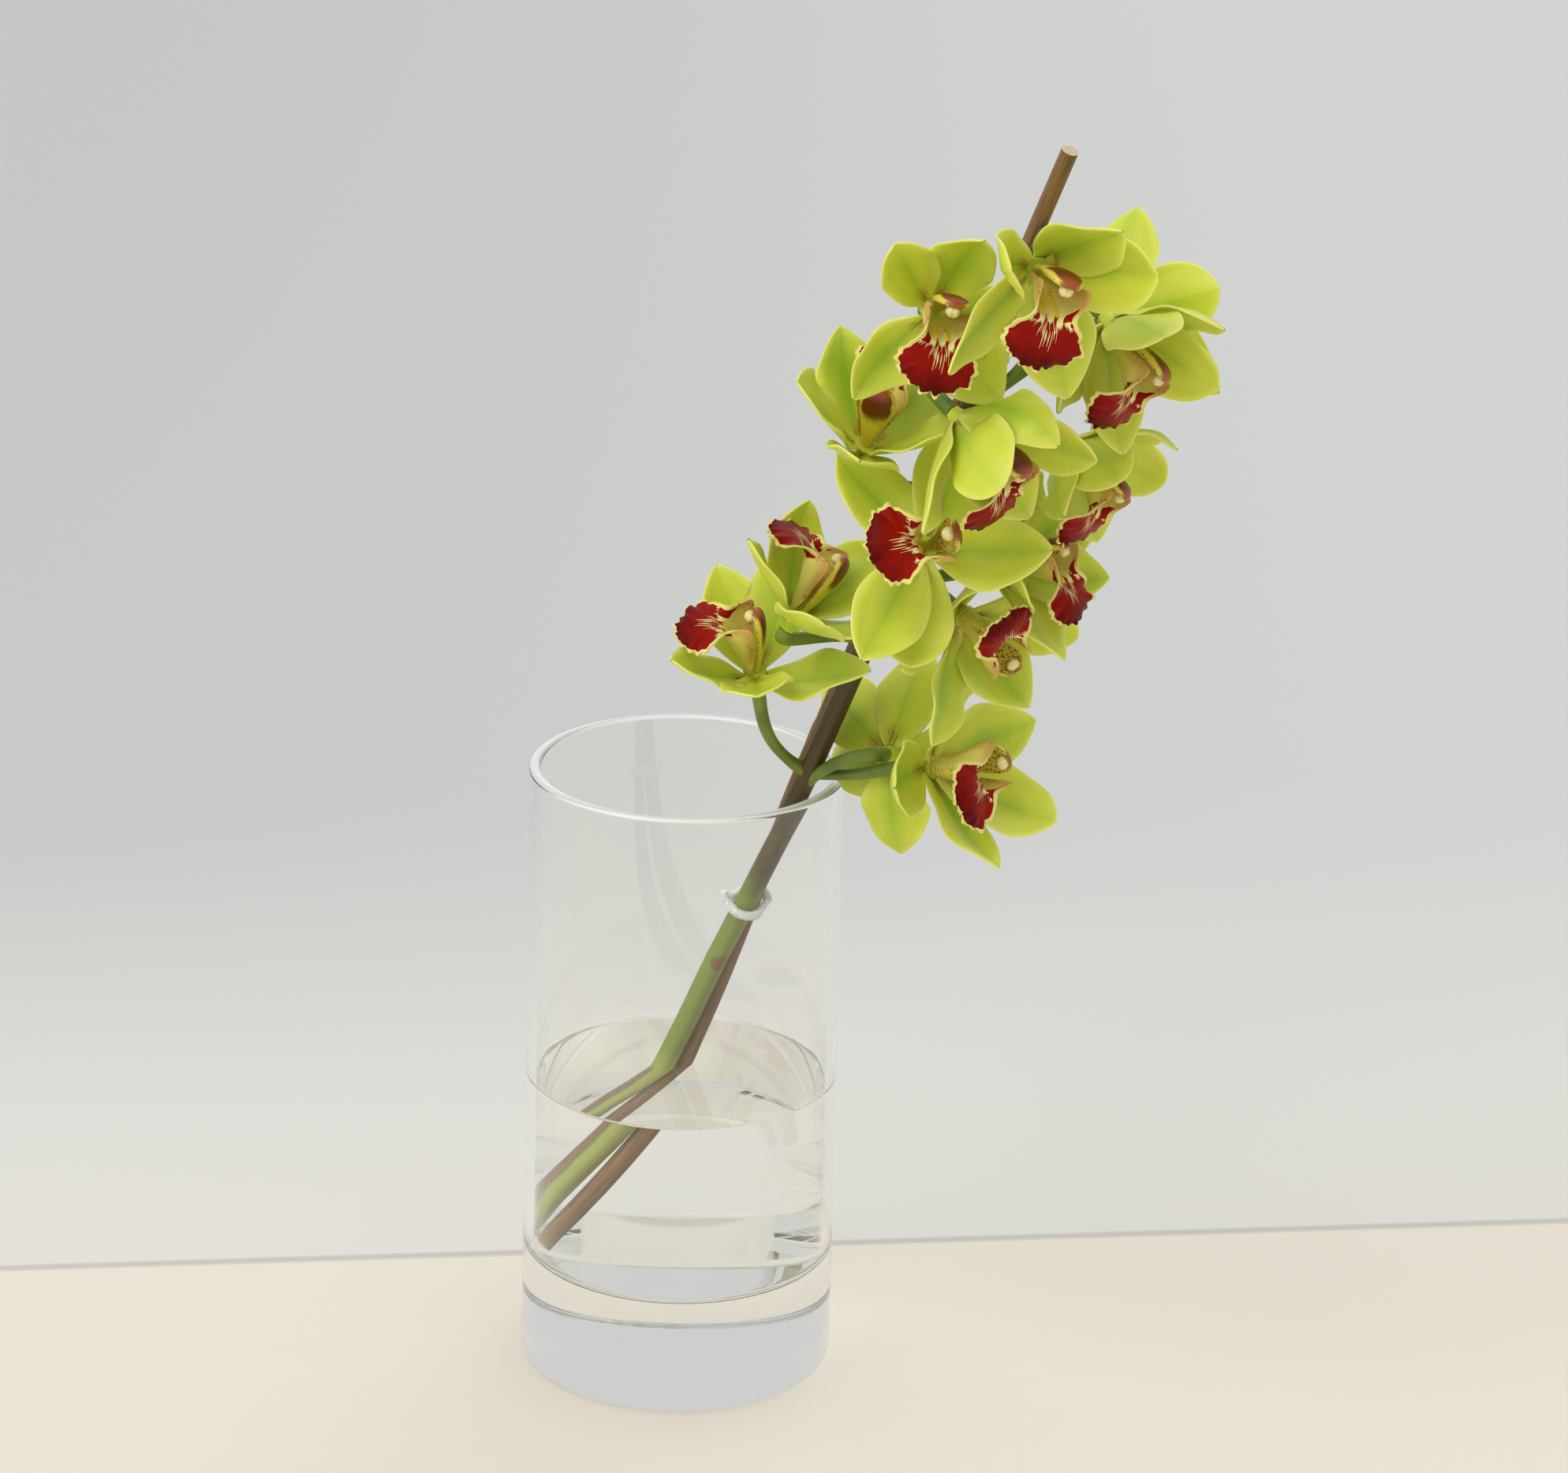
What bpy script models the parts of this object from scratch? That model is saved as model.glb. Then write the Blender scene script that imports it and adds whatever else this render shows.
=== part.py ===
# A cut cymbidium orchid spray, tied to a cane, standing in a clear glass vase with water.
# Metres, +Z up. The origin is the middle of the vase's underside; the spray leans to +X and -Y.

import math

import bmesh
import bpy
from mathutils import Matrix, Vector

MM = 0.001

# Vase: a heavy cylinder, a little wider at the foot than at the rim.
vase_height = 300 * MM
vase_rim_radius = 73.7 * MM
vase_foot_radius = 75 * MM
vase_wall = 5.4 * MM
vase_floor = 55 * MM
vase_cove = 6 * MM
vase_foot_edge = 2 * MM
vase_rim_edge = 1.2 * MM
vase_sides = 32
water_level = 145 * MM

# Touching pieces keep this gap.
gap = 0.3 * MM

# Cane: its middle as height, x and y in millimetres. It bends in the vase and is straight above.
cane_radius = 3.75 * MM
cane_sides = 8
cane_route = (
    (58, -51.7, -6.4),
    (75, -38, -1),
    (95, -24.5, 4.5),
    (120, -10.5, 8.5),
    (145, 1.2, 10.2),
    (175, 13, 9),
    (205, 23, 4),
    (240, 33.3, -5.7),
    (300, 49.9, -26.5),
    (625, 153, -139),
)
cane_node_heights = (150, 330, 500)
cane_node_reach = 4
cane_node_swell = 0.6 * MM

# The water's hole for the cane goes on past the floor.
hole_past_floor = 6 * MM

# Flower stem: height, distance of its middle from the cane's, and radius, in millimetres.
stem_sides = 10
stem_route = (
    (61, -5.3, 13.6, 5.2),
    (80, -9.5, 9, 5.2),
    (100, -11, 3.9, 5.2),
    (120, -10.8, -0.8, 5.2),
    (145, -10.4, -5.2, 5.1),
    (170, -9.5, -6.8, 5.1),
    (200, -8.2, -8, 5.1),
    (230, -5.5, -9.5, 5.1),
    (260, -2.4, -10, 5.0),
    (300, 1.2, -9.7, 4.8),
    (340, 1.8, -10.2, 4.9),
    (420, 2.3, -9.6, 4.6),
    (500, 2.5, -9.2, 4.0),
    (560, 2.5, -8.2, 3.4),
    (590, 2.5, -7.5, 2.8),
)

# Ties of fuzzy wire round the stem and the cane: height on the cane and direction of the tail.
tie_radius = 1.3 * MM
tie_clearance = 0.65 * MM
tie_points = 16
tie_sides = 5
tail_radius = 1.6 * MM
tail_middle = 4 * MM
tail_end = 7 * MM
tail_rise = Vector((0, 0, 3)) * MM
tie_span = 5
ties = {
    "tie_lower": (238, Vector((-0.8, -0.2, 0.55))),
    "tie_upper": (534, Vector((0.9, 0.4, 0.2))),
}

# One bloom: sizes in millimetres for a bloom of size 1.
tepal_length = 53 * MM
tepal_half_width = 17.5 * MM
tepal_thickness = 1.3 * MM
tepal_edge_thickness = 0.8 * MM
tepal_cup = 0.26
tepal_middle_dip = 0.05
tepal_edge_tilt = 0.45
tepal_widest = 0.52
tepal_root_share = 0.22
tepal_tip_share = 0.05
tepal_rows = 5
tepal_columns = 5
tepal_row_spread = 0.92
tepal_steps = 20
tepal_root_radius = 4.0 * MM
petal_root_depth = 0.9 * MM
sepal_root_depth = 3.0 * MM
receptacle_radius = 5.6 * MM
receptacle_neck_radius = 4.1 * MM
receptacle_neck_depth = 4 * MM
receptacle_depth = 8 * MM
receptacle_sides = 6
ovary_radius = 3.3 * MM
pedicel_radius = 2.5 * MM
pedicel_sides = 5
pedicel_points = 6
pedicel_straight = 3 * MM
pedicel_leaving = 0.4

# Lip: for each row the floor's place (forward, down), half the width along the curve, and how far
# the sides turn up, in degrees.
lip_rows = (
    (0.9, -3.6, 4.2, 62),
    (7, -5.2, 8.5, 92),
    (15, -7.2, 13, 98),
    (23, -10.2, 15.5, 92),
    (28.5, -14.2, 9.5, 60),
    (30.8, -19, 14.5, -14),
    (31, -25, 14.5, -22),
    (28.5, -31, 8.5, -24),
)
lip_columns = 6
lip_thickness = 1.1 * MM

# Column: forward, up, half width and half height of each ring.
column_sides = 6
column_rings = (
    (0.5, 0.4, 2.5, 2.1),
    (9, 2.4, 3.1, 2.3),
    (19, 4.0, 5.0, 2.7),
    (27, 4.4, 6.2, 3.1),
    (32, 3.2, 5.2, 2.8),
    (34.5, 0.8, 2.2, 1.4),
)
anther_place = Vector((0, -0.2, 32.5)) * MM
anther_radius = 2.1 * MM

# Tepals of a bloom: direction round the bloom (degrees clockwise from the top sepal, seen from
# the front), lift forward, bend along the length, and length against the usual.
dorsal = "sepal_top"
petal_l = "petal_left"
petal_r = "petal_right"
sepal_l = "sepal_left"
sepal_r = "sepal_right"

# Blooms from the top down. centre is in millimetres. facing is the azimuth (0 to the front, 90 to
# the right), the elevation and the roll clockwise, in degrees. The pedicel starts at the height
# joint on the stem, in millimetres, in the direction leave, and arrives straight from rise
# millimetres behind the bloom.
blooms = {
    "bloom_01": {
        "centre": (137, -200, 589), "facing": (15, -3, 17), "size": 1.05,
        "joint": 545, "leave": (0.1, -0.8, 0.8), "rise": 26,
        dorsal: (19, 58, 13, 0.97), petal_l: (-85, 58, 45, 0.85), petal_r: (64, 44, 12, 0.92),
        sepal_l: (-148, 19, 17, 0.99), sepal_r: (146, 3, 15, 0.99),
    },
    "bloom_02": {
        "centre": (97, -176, 565), "facing": (10, 11, 15), "size": 1.03,
        "joint": 508, "leave": (-0.3, -0.7, 0.8), "rise": 26,
        dorsal: (9, 48, 31, 1), petal_l: (-58, 45, 21, 0.95), petal_r: (88, -22, 32, 0.9),
        sepal_l: (-157, -31, 33, 0.97), sepal_r: (127, -16, 10, 0.88),
    },
    "bloom_03": {
        "centre": (174, -149, 552), "facing": (35, -30, 35), "size": 1.0,
        "joint": 505, "leave": (0.9, -0.4, 0.5), "rise": 26,
        dorsal: (-2, 48, 30, 1), petal_l: (-60, 52, 35, 1), petal_r: (63, 55, 13, 0.92),
        sepal_l: (-150, 32, 15, 0.9), sepal_r: (142, 42, 14, 1),
    },
    "bloom_04": {
        "centre": (112, -173, 516), "facing": (47, -30, -3), "size": 1.05,
        "joint": 493, "leave": (-0.1, -1, 0.6), "rise": 26,
        dorsal: (-11, 56, 46, 1.04), petal_l: (-64, 55, 30, 1.01), petal_r: (74, 58, 26, 1),
        sepal_l: (-118, 39, 22, 0.98), sepal_r: (139, 42, 1, 0.98),
    },
    "bloom_05": {
        "centre": (73, -122, 492), "facing": (22, 60, -145), "size": 1.02,
        "joint": 460, "leave": (-0.6, -0.6, 0.8), "rise": 26,
        dorsal: (-3, 42, 24, 0.96), petal_l: (-66, 47, 5, 0.96), petal_r: (58, 50, 18, 1),
        sepal_l: (-157, 21, 8, 0.88), sepal_r: (144, 34, 20, 0.95),
    },
    "bloom_06": {
        "centre": (163, -113, 489), "facing": (43, -32, 25), "size": 0.95,
        "joint": 455, "leave": (0.8, -0.2, 0.8), "rise": 26,
        dorsal: (0, 46, 30, 1), petal_l: (-66, 52, 35, 1), petal_r: (77, 28, 14, 0.94),
        sepal_l: (-112, 46, 20, 1), sepal_r: (127, 32, 8, 0.98),
    },
    "bloom_07": {
        "centre": (99, -145, 453), "facing": (12, 27, 82), "size": 1.03,
        "joint": 425, "leave": (0.1, -0.9, 0.6), "rise": 26,
        dorsal: (18, 38, 14, 1.04), petal_l: (-55, 1, 25, 1), petal_r: (108, -9, 31, 0.89),
        sepal_l: (-129, -12, 4, 0.94), sepal_r: (133, 11, 15, 1.05),
    },
    "bloom_08": {
        "centre": (136, -106, 434), "facing": (55, 20, -2), "size": 0.97,
        "joint": 410, "leave": (0.8, -0.5, 0.6), "rise": 26,
        dorsal: (7, 40, 19, 0.9), petal_l: (-93, 43, -13, 0.9), petal_r: (74, 32, 15, 0.95),
        sepal_l: (-172, 28, -6, 0.92), sepal_r: (119, 36, 13, 0.94),
    },
    "bloom_09": {
        "centre": (119, -112, 412), "facing": (45, -25, 149), "size": 0.98,
        "joint": 385, "leave": (0.5, -0.7, 0.7), "rise": 26,
        dorsal: (-5, 52, 20, 0.98), petal_l: (-53, 30, 42, 1.09), petal_r: (61, 34, 14, 1.06),
        sepal_l: (-179, 24, 23, 0.84), sepal_r: (116, 21, 23, 0.95),
    },
    "bloom_10": {
        "centre": (46, -103, 408), "facing": (74, 60, -171), "size": 1.0,
        "joint": 385, "leave": (-0.8, -0.7, 0.5), "rise": 9,
        dorsal: (-2, 34, 15, 1), petal_l: (-69, 59, 25, 0.9), petal_r: (62, 27, 21, 0.94),
        sepal_l: (-140, 47, 24, 1), sepal_r: (128, 36, -16, 1),
    },
    "bloom_11": {
        "centre": (29, -79, 374), "facing": (-18, 64, 74), "size": 1.0,
        "joint": 312, "leave": (-0.9, -0.2, 0.6), "rise": 20,
        dorsal: (25, 23, 29, 1.11), petal_l: (-59, 45, 16, 1.01), petal_r: (84, 36, 22, 0.91),
        sepal_l: (-110, 42, 16, 0.94), sepal_r: (147, 41, 16, 0.93),
    },
    "bloom_12": {
        "centre": (110, -89, 334), "facing": (57, 13, 68), "size": 1.05,
        "joint": 313, "leave": (1, -0.5, 0), "rise": 26,
        dorsal: (14, 33, 13, 0.98), petal_l: (-78, 35, 15, 0.95), petal_r: (74, 46, 15, 1.05),
        sepal_l: (-152, 14, 20, 0.95), sepal_r: (118, 35, 16, 0.95),
    },
    "bloom_13": {
        "centre": (92, -56, 327), "facing": (156, -20, -21), "size": 0.98,
        "joint": 292, "leave": (0.3, -0.1, 1), "rise": 24,
        dorsal: (18, 23, 12, 1), petal_l: (-60, 13, 15, 0.96), petal_r: (78, 24, 16, 0.99),
        sepal_l: (-153, 29, 18, 0.93), sepal_r: (126, 41, 7, 1),
    },
    "bloom_14": {
        "centre": (180, -105, 545), "facing": (148, -4, 9), "size": 0.95,
        "joint": 500, "leave": (0.8, -0.1, 0.8), "rise": 26,
        dorsal: (0, 30, 20, 1), petal_l: (-75, -10, 10, 1), petal_r: (72, 30, 15, 1),
        sepal_l: (-130, 20, 15, 1), sepal_r: (128, 24, 15, 1),
    },
}
tepal_names = (dorsal, petal_l, petal_r, sepal_l, sepal_r)


def clear_scene():
    for old in list(bpy.data.objects):
        bpy.data.objects.remove(old, do_unlink=True)


def material(name, colour, roughness, transmission=0.0, ior=1.45):
    made = bpy.data.materials.new(name)
    made.use_nodes = True
    shader = made.node_tree.nodes["Principled BSDF"]
    shader.inputs["Base Color"].default_value = (*colour, 1)
    shader.inputs["Roughness"].default_value = roughness
    shader.inputs["Metallic"].default_value = 0
    shader.inputs["Transmission Weight"].default_value = transmission
    shader.inputs["IOR"].default_value = ior
    return made


def new_object(name, bm, finish):
    bmesh.ops.recalc_face_normals(bm, faces=bm.faces[:])
    mesh = bpy.data.meshes.new(name)
    bm.to_mesh(mesh)
    bm.free()
    mesh.shade_smooth()
    mesh.set_sharp_from_angle(angle=math.radians(40))
    made = bpy.data.objects.new(name, mesh)
    bpy.context.scene.collection.objects.link(made)
    if finish:
        made.data.materials.append(finish)
    return made


def bake_boolean(target, tools, operation):
    """One Boolean with all the tools, applied, and the tools removed."""
    group = bpy.data.collections.new("tools")
    bpy.context.scene.collection.children.link(group)
    for tool in tools:
        bpy.context.scene.collection.objects.unlink(tool)
        group.objects.link(tool)
    cut = target.modifiers.new("joined", "BOOLEAN")
    cut.operation = operation
    cut.operand_type = "COLLECTION"
    cut.collection = group
    cut.solver = "EXACT"
    seen = target.evaluated_get(bpy.context.evaluated_depsgraph_get())
    mesh = bpy.data.meshes.new_from_object(seen)
    target.modifiers.clear()
    target.data = mesh
    mesh.name = target.name
    for tool in tools:
        bpy.data.objects.remove(tool, do_unlink=True)
    bpy.data.collections.remove(group)


def tube_mesh(points, radii, sides, heights=None, start_up=None):
    """A closed tube along points; rings are turned as little as possible from one to the next.

    radii are the rings' half widths; heights are their half heights, where these differ.
    """
    bm = bmesh.new()
    count = len(points)
    tangents = []
    for i in range(count):
        ahead = points[min(i + 1, count - 1)] - points[max(i - 1, 0)]
        tangents.append(ahead.normalized())
    up = start_up or tangents[0].orthogonal()
    rings = []
    for point, tangent, wide, high in zip(points, tangents, radii, heights or radii):
        up = (up - tangent * up.dot(tangent)).normalized()
        side = tangent.cross(up)
        ring = []
        for k in range(sides):
            turn = 2 * math.pi * k / sides
            place = point + side * math.cos(turn) * wide + up * math.sin(turn) * high
            ring.append(bm.verts.new(place))
        rings.append(ring)
    for low, high in zip(rings, rings[1:]):
        for k in range(sides):
            n = (k + 1) % sides
            bm.faces.new((low[k], low[n], high[n], high[k]))
    bm.faces.new(rings[0][::-1])
    bm.faces.new(rings[-1])
    return bm


def blade_mesh(front, back):
    """A thin closed solid between two equal grids, split into triangles alike on both faces."""
    bm = bmesh.new()
    rows, columns = len(front), len(front[0])
    faces = [[[bm.verts.new(p) for p in row] for row in grid] for grid in (front, back)]
    for grid, flip in zip(faces, (False, True)):
        for i in range(rows - 1):
            for j in range(columns - 1):
                a, b = grid[i][j], grid[i][j + 1]
                c, d = grid[i + 1][j + 1], grid[i + 1][j]
                halves = ((a, b, c), (a, c, d))
                if j >= (columns - 1) / 2:
                    halves = ((a, b, d), (b, c, d))
                for half in halves:
                    bm.faces.new(half[::-1] if flip else half)
    f, b = faces
    for i in range(rows - 1):
        for j in (0, columns - 1):
            bm.faces.new((f[i][j], f[i + 1][j], b[i + 1][j], b[i][j]))
    for j in range(columns - 1):
        for i in (0, rows - 1):
            bm.faces.new((f[i][j], f[i][j + 1], b[i][j + 1], b[i][j]))
    return bm


def tepal_outline(s):
    """Half width along a tepal, from a narrow root to a blunt point."""
    if s < tepal_widest:
        rise = math.sin(math.pi / 2 * s / tepal_widest)
        return tepal_root_share + (1 - tepal_root_share) * rise
    past = (s - tepal_widest) / (1 - tepal_widest)
    return tepal_tip_share + (1 - tepal_tip_share) * (1 - past ** 2.1) ** 0.75


def tepal_blade(azimuth, lift, bend, length, size, root_depth):
    turn = math.radians(azimuth)
    outward = Vector((math.sin(turn), math.cos(turn), 0))
    forward = Vector((0, 0, 1))
    side = outward.cross(forward)
    point = outward * tepal_root_radius - forward * root_depth
    reach = tepal_length * length * size
    half_width = tepal_half_width * size
    front, back = [], []
    walked, place = 0.0, point.copy()
    for row in range(tepal_rows):
        s = (row / (tepal_rows - 1)) ** tepal_row_spread
        while walked < s - 1e-6:
            step = min(1 / tepal_steps, s - walked)
            angle = math.radians(lift + bend * (walked + step / 2 - 0.5))
            place += (outward * math.cos(angle) + forward * math.sin(angle)) * reach * step
            walked += step
        angle = math.radians(lift + bend * (s - 0.5))
        normal = forward * math.cos(angle) - outward * math.sin(angle)
        width = half_width * tepal_outline(s)
        row_f, row_b = [], []
        for k in range(tepal_columns):
            v = 2 * k / (tepal_columns - 1) - 1
            cup = width * (tepal_cup * v * v - tepal_middle_dip * (1 - abs(v)))
            middle = place + side * width * v + normal * cup
            tilt = (normal - side * (tepal_edge_tilt * v)).normalized()
            thick = tepal_thickness + (tepal_edge_thickness - tepal_thickness) * abs(v)
            row_f.append(middle + tilt * thick / 2)
            row_b.append(middle - tilt * thick / 2)
        front.append(row_f)
        back.append(row_b)
    return blade_mesh(front, back)


def lip_blade(size):
    front, back = [], []
    count = len(lip_rows)
    for i, (z, y, half, turn_up) in enumerate(lip_rows):
        low, high = lip_rows[max(i - 1, 0)], lip_rows[min(i + 1, count - 1)]
        along = Vector((0, high[1] - low[1], high[0] - low[0])).normalized()
        normal = Vector((0, along.z, -along.y))
        floor = Vector((0, y, z)) * MM
        row_f, row_b = [], []
        for k in range(lip_columns):
            v = 2 * k / (lip_columns - 1) - 1
            total = math.radians(turn_up)
            reach = half * MM * abs(v)
            bend = total * abs(v)
            across = reach * math.sin(bend) / bend
            rise = reach * (1 - math.cos(bend)) / bend
            sign = 1 if v > 0 else -1
            middle = floor + Vector((sign * across, 0, 0)) + normal * rise
            inward = normal * math.cos(bend) - Vector((sign * math.sin(bend), 0, 0))
            row_f.append((middle + inward * lip_thickness / 2) * size)
            row_b.append((middle - inward * lip_thickness / 2) * size)
        front.append(row_f)
        back.append(row_b)
    return blade_mesh(front, back)


def bloom_matrix(bloom):
    azimuth, elevation, roll = (math.radians(a) for a in bloom["facing"])
    facing = Vector((
        math.sin(azimuth) * math.cos(elevation),
        -math.cos(azimuth) * math.cos(elevation),
        math.sin(elevation),
    ))
    upright = Vector((0, 0, 1))
    upright = (upright - facing * upright.dot(facing)).normalized()
    side = upright.cross(facing)
    top = upright * math.cos(roll) + side * math.sin(roll)
    turned = Matrix((top.cross(facing), top, facing)).transposed().to_4x4()
    return Matrix.Translation(Vector(bloom["centre"]) * MM) @ turned


def build_bloom(name, bloom, finishes):
    size = bloom["size"]
    place = bloom_matrix(bloom)
    back = tube_mesh(
        [Vector((0, 0, -depth)) for depth in (receptacle_depth, receptacle_neck_depth, 0)],
        [ovary_radius, receptacle_neck_radius, receptacle_radius], receptacle_sides,
    )
    tepals = new_object(name + "_tepals", back, finishes["tepal"])
    blades = []
    for tepal in tepal_names:
        root_depth = petal_root_depth if tepal in (petal_l, petal_r) else sepal_root_depth
        blade = tepal_blade(*bloom[tepal], size, root_depth)
        blades.append(new_object(tepal, blade, finishes["tepal"]))
    bake_boolean(tepals, blades, "UNION")
    lip = new_object(name + "_lip", lip_blade(size), finishes["lip"])
    points = [Vector((0, y, z)) * MM * size for z, y, wide, high in column_rings]
    widths = [wide * MM * size for z, y, wide, high in column_rings]
    heights = [high * MM * size for z, y, wide, high in column_rings]
    shaft = tube_mesh(points, widths, column_sides, heights, Vector((0, 1, 0)))
    column = new_object(name + "_column", shaft, finishes["column"])
    ball = bmesh.new()
    bmesh.ops.create_icosphere(ball, subdivisions=1, radius=anther_radius * size)
    bmesh.ops.translate(ball, verts=ball.verts[:], vec=anther_place * size)
    bake_boolean(column, [new_object("anther", ball, None)], "UNION")
    for piece in (tepals, lip, column):
        piece.matrix_world = place


def between_rows(rows, height):
    """What the rows give at a height in millimetres, straight from one row to the next."""
    for low, high in zip(rows, rows[1:]):
        if height <= high[0]:
            break
    share = (height - low[0]) / (high[0] - low[0])
    return [a + (b - a) * share for a, b in zip(low[1:], high[1:])]


def cane_point(height):
    x, y = between_rows(cane_route, height)
    return Vector((x, y, height)) * MM


def stem_point(height):
    x, y, radius = between_rows(stem_route, height)
    return cane_point(height) + Vector((x, y, 0)) * MM, radius * MM


def bezier(a, b, c, d, count):
    points = []
    for k in range(count):
        t = k / (count - 1)
        u = 1 - t
        points.append(a * u ** 3 + b * 3 * u * u * t + c * 3 * u * t * t + d * t ** 3)
    return points


def lengthened(points, past):
    """The route with its foot moved on along its own line."""
    start = points[0] + (points[0] - points[1]).normalized() * past
    return [start] + points[1:]


def stem_solid(name, finish, extra=0.0, past=0.0):
    points, radii = [], []
    for row in stem_route:
        point, radius = stem_point(row[0])
        points.append(point)
        radii.append(radius + extra)
    return new_object(name, tube_mesh(lengthened(points, past), radii, stem_sides), finish)


def cane_solid(name, finish, extra=0.0, past=0.0):
    heights = {row[0] for row in cane_route}
    for height in cane_node_heights:
        heights |= {height - cane_node_reach, height, height + cane_node_reach}
    points, radii = [], []
    for height in sorted(heights):
        swell = cane_node_swell if height in cane_node_heights else 0
        points.append(cane_point(height))
        radii.append(cane_radius + swell + extra)
    return new_object(name, tube_mesh(lengthened(points, past), radii, cane_sides), finish)


def build_stem(finish):
    stem = stem_solid("flower_stem", finish)
    branches = []
    for name, bloom in blooms.items():
        place = bloom_matrix(bloom)
        facing = place.to_3x3() @ Vector((0, 0, 1))
        end = place @ Vector((0, 0, -receptacle_depth - gap))
        root = stem_point(bloom["joint"])[0]
        straight = end - facing * pedicel_straight
        leave = Vector(bloom["leave"]).normalized()
        first = root + leave * (end - root).length * pedicel_leaving
        second = end - facing * bloom["rise"] * MM
        points = bezier(root, first, second, straight, pedicel_points) + [end]
        swelling = (ovary_radius - pedicel_radius) / pedicel_points
        radii = [pedicel_radius + swelling * k for k in range(pedicel_points + 1)]
        branches.append(new_object("pedicel", tube_mesh(points, radii, pedicel_sides), finish))
    bake_boolean(stem, branches, "UNION")


def loop_points(height):
    """A loop round the stem and the cane at this height on the cane, and the cane's direction."""
    along = (cane_point(height + tie_span) - cane_point(height - tie_span)).normalized()
    clearance = tie_radius + tie_clearance
    cane = cane_point(height)
    stem, stem_radius = stem_point(height)
    stem = stem - along * (stem - cane).dot(along)
    across = (stem - cane).normalized()
    aside = along.cross(across)
    between = (stem - cane).length
    points = []
    for k in range(tie_points):
        turn = 2 * math.pi * k / tie_points
        ray = across * math.cos(turn) + aside * math.sin(turn)
        reach_cane = cane_radius + clearance
        reach_stem = between * math.cos(turn) + stem_radius + clearance
        if reach_stem > reach_cane:
            points.append(stem + ray * (stem_radius + clearance))
        else:
            points.append(cane + ray * reach_cane)
    return points, along


def build_tie(name, height, tail, finish):
    points, along = loop_points(height)
    bm = bmesh.new()
    rings = []
    for i in range(tie_points):
        tangent = (points[(i + 1) % tie_points] - points[i - 1]).normalized()
        side = tangent.cross(along)
        ring = []
        for k in range(tie_sides):
            turn = 2 * math.pi * k / tie_sides
            ring.append(bm.verts.new(
                points[i] + (side * math.cos(turn) + along * math.sin(turn)) * tie_radius
            ))
        rings.append(ring)
    for i in range(tie_points):
        low, high = rings[i], rings[(i + 1) % tie_points]
        for k in range(tie_sides):
            n = (k + 1) % tie_sides
            bm.faces.new((low[k], low[n], high[n], high[k]))
    loop = new_object(name, bm, finish)
    start = max(points, key=lambda p: p.dot(tail))
    route = [start, start + tail * tail_middle, start + tail * tail_end + tail_rise]
    tail_tube = tube_mesh(route, [tail_radius] * len(route), tie_sides)
    bake_boolean(loop, [new_object("tail", tail_tube, finish)], "UNION")


def turned_solid(profile, sides):
    """A solid turned round Z from (radius, height) points, from the axis and back to it."""
    bm = bmesh.new()
    rings = []
    for radius, height in profile:
        if radius == 0:
            rings.append([bm.verts.new((0, 0, height))])
            continue
        ring = []
        for k in range(sides):
            turn = 2 * math.pi * k / sides
            ring.append(bm.verts.new((radius * math.cos(turn), radius * math.sin(turn), height)))
        rings.append(ring)
    for low, high in zip(rings, rings[1:]):
        for k in range(sides):
            n = (k + 1) % sides
            if len(low) == 1:
                bm.faces.new((low[0], high[n], high[k]))
            elif len(high) == 1:
                bm.faces.new((low[k], low[n], high[0]))
            else:
                bm.faces.new((low[k], low[n], high[n], high[k]))
    return bm


def cove_profile(radius, floor):
    """The round between a wall of this radius and the floor, from the wall inwards."""
    middle = vase_cove * 0.3
    return (
        (radius, floor + vase_cove), (radius - middle, floor + middle),
        (radius - vase_cove, floor),
    )


def build_vase(finish):
    inner_rim = vase_rim_radius - vase_wall
    inner_foot = vase_foot_radius - vase_wall
    profile = (
        (0, 0), (vase_foot_radius - vase_foot_edge, 0), (vase_foot_radius, vase_foot_edge),
        (vase_rim_radius, vase_height - vase_rim_edge),
        (vase_rim_radius - vase_rim_edge, vase_height),
        (inner_rim + vase_rim_edge, vase_height), (inner_rim, vase_height - vase_rim_edge),
        *cove_profile(inner_foot, vase_floor), (0, vase_floor),
    )
    return new_object("glass_vase", turned_solid(profile, vase_sides), finish)


def build_water(finish):
    inner_foot = vase_foot_radius - vase_wall - gap
    slope = (vase_foot_radius - vase_rim_radius) / vase_height
    inner_top = inner_foot - slope * (water_level - vase_floor)
    floor = vase_floor + gap
    profile = (
        (0, floor), *cove_profile(inner_foot, floor)[::-1], (inner_top, water_level),
        (0, water_level),
    )
    water = new_object("water", turned_solid(profile, vase_sides), finish)
    holes = [
        stem_solid("stem_hole", None, gap, gap),
        cane_solid("cane_hole", None, gap, hole_past_floor),
    ]
    bake_boolean(water, holes, "DIFFERENCE")


def build_part():
    clear_scene()
    finishes = {
        "tepal": material("tepal_green", (0.42, 0.55, 0.07), 0.45),
        "lip": material("lip_red", (0.35, 0.01, 0.01), 0.4),
        "column": material("column_brown", (0.35, 0.14, 0.03), 0.4),
    }
    stem_green = material("stem_green", (0.16, 0.2, 0.04), 0.5)
    cane_brown = material("cane_brown", (0.2, 0.1, 0.05), 0.6)
    tie_white = material("tie_white", (0.85, 0.85, 0.82), 0.9)
    glass = material("clear_glass", (1, 1, 1), 0.02, 1.0, 1.5)
    water = material("water", (0.98, 0.99, 0.97), 0.0, 1.0, 1.33)
    build_vase(glass)
    build_water(water)
    cane_solid("cane", cane_brown)
    build_stem(stem_green)
    for name, (height, tail) in ties.items():
        build_tie(name, height, tail.normalized(), tie_white)
    for name, bloom in blooms.items():
        build_bloom(name, bloom, finishes)


build_part()
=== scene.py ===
# A cut cymbidium spray, tied to a cane, in a heavy clear glass vase with water.
# Metres, +Z up. The spray leans to the right and to the front.

import random
from math import atan2, cos, exp, hypot, pi, radians, sin

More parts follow.
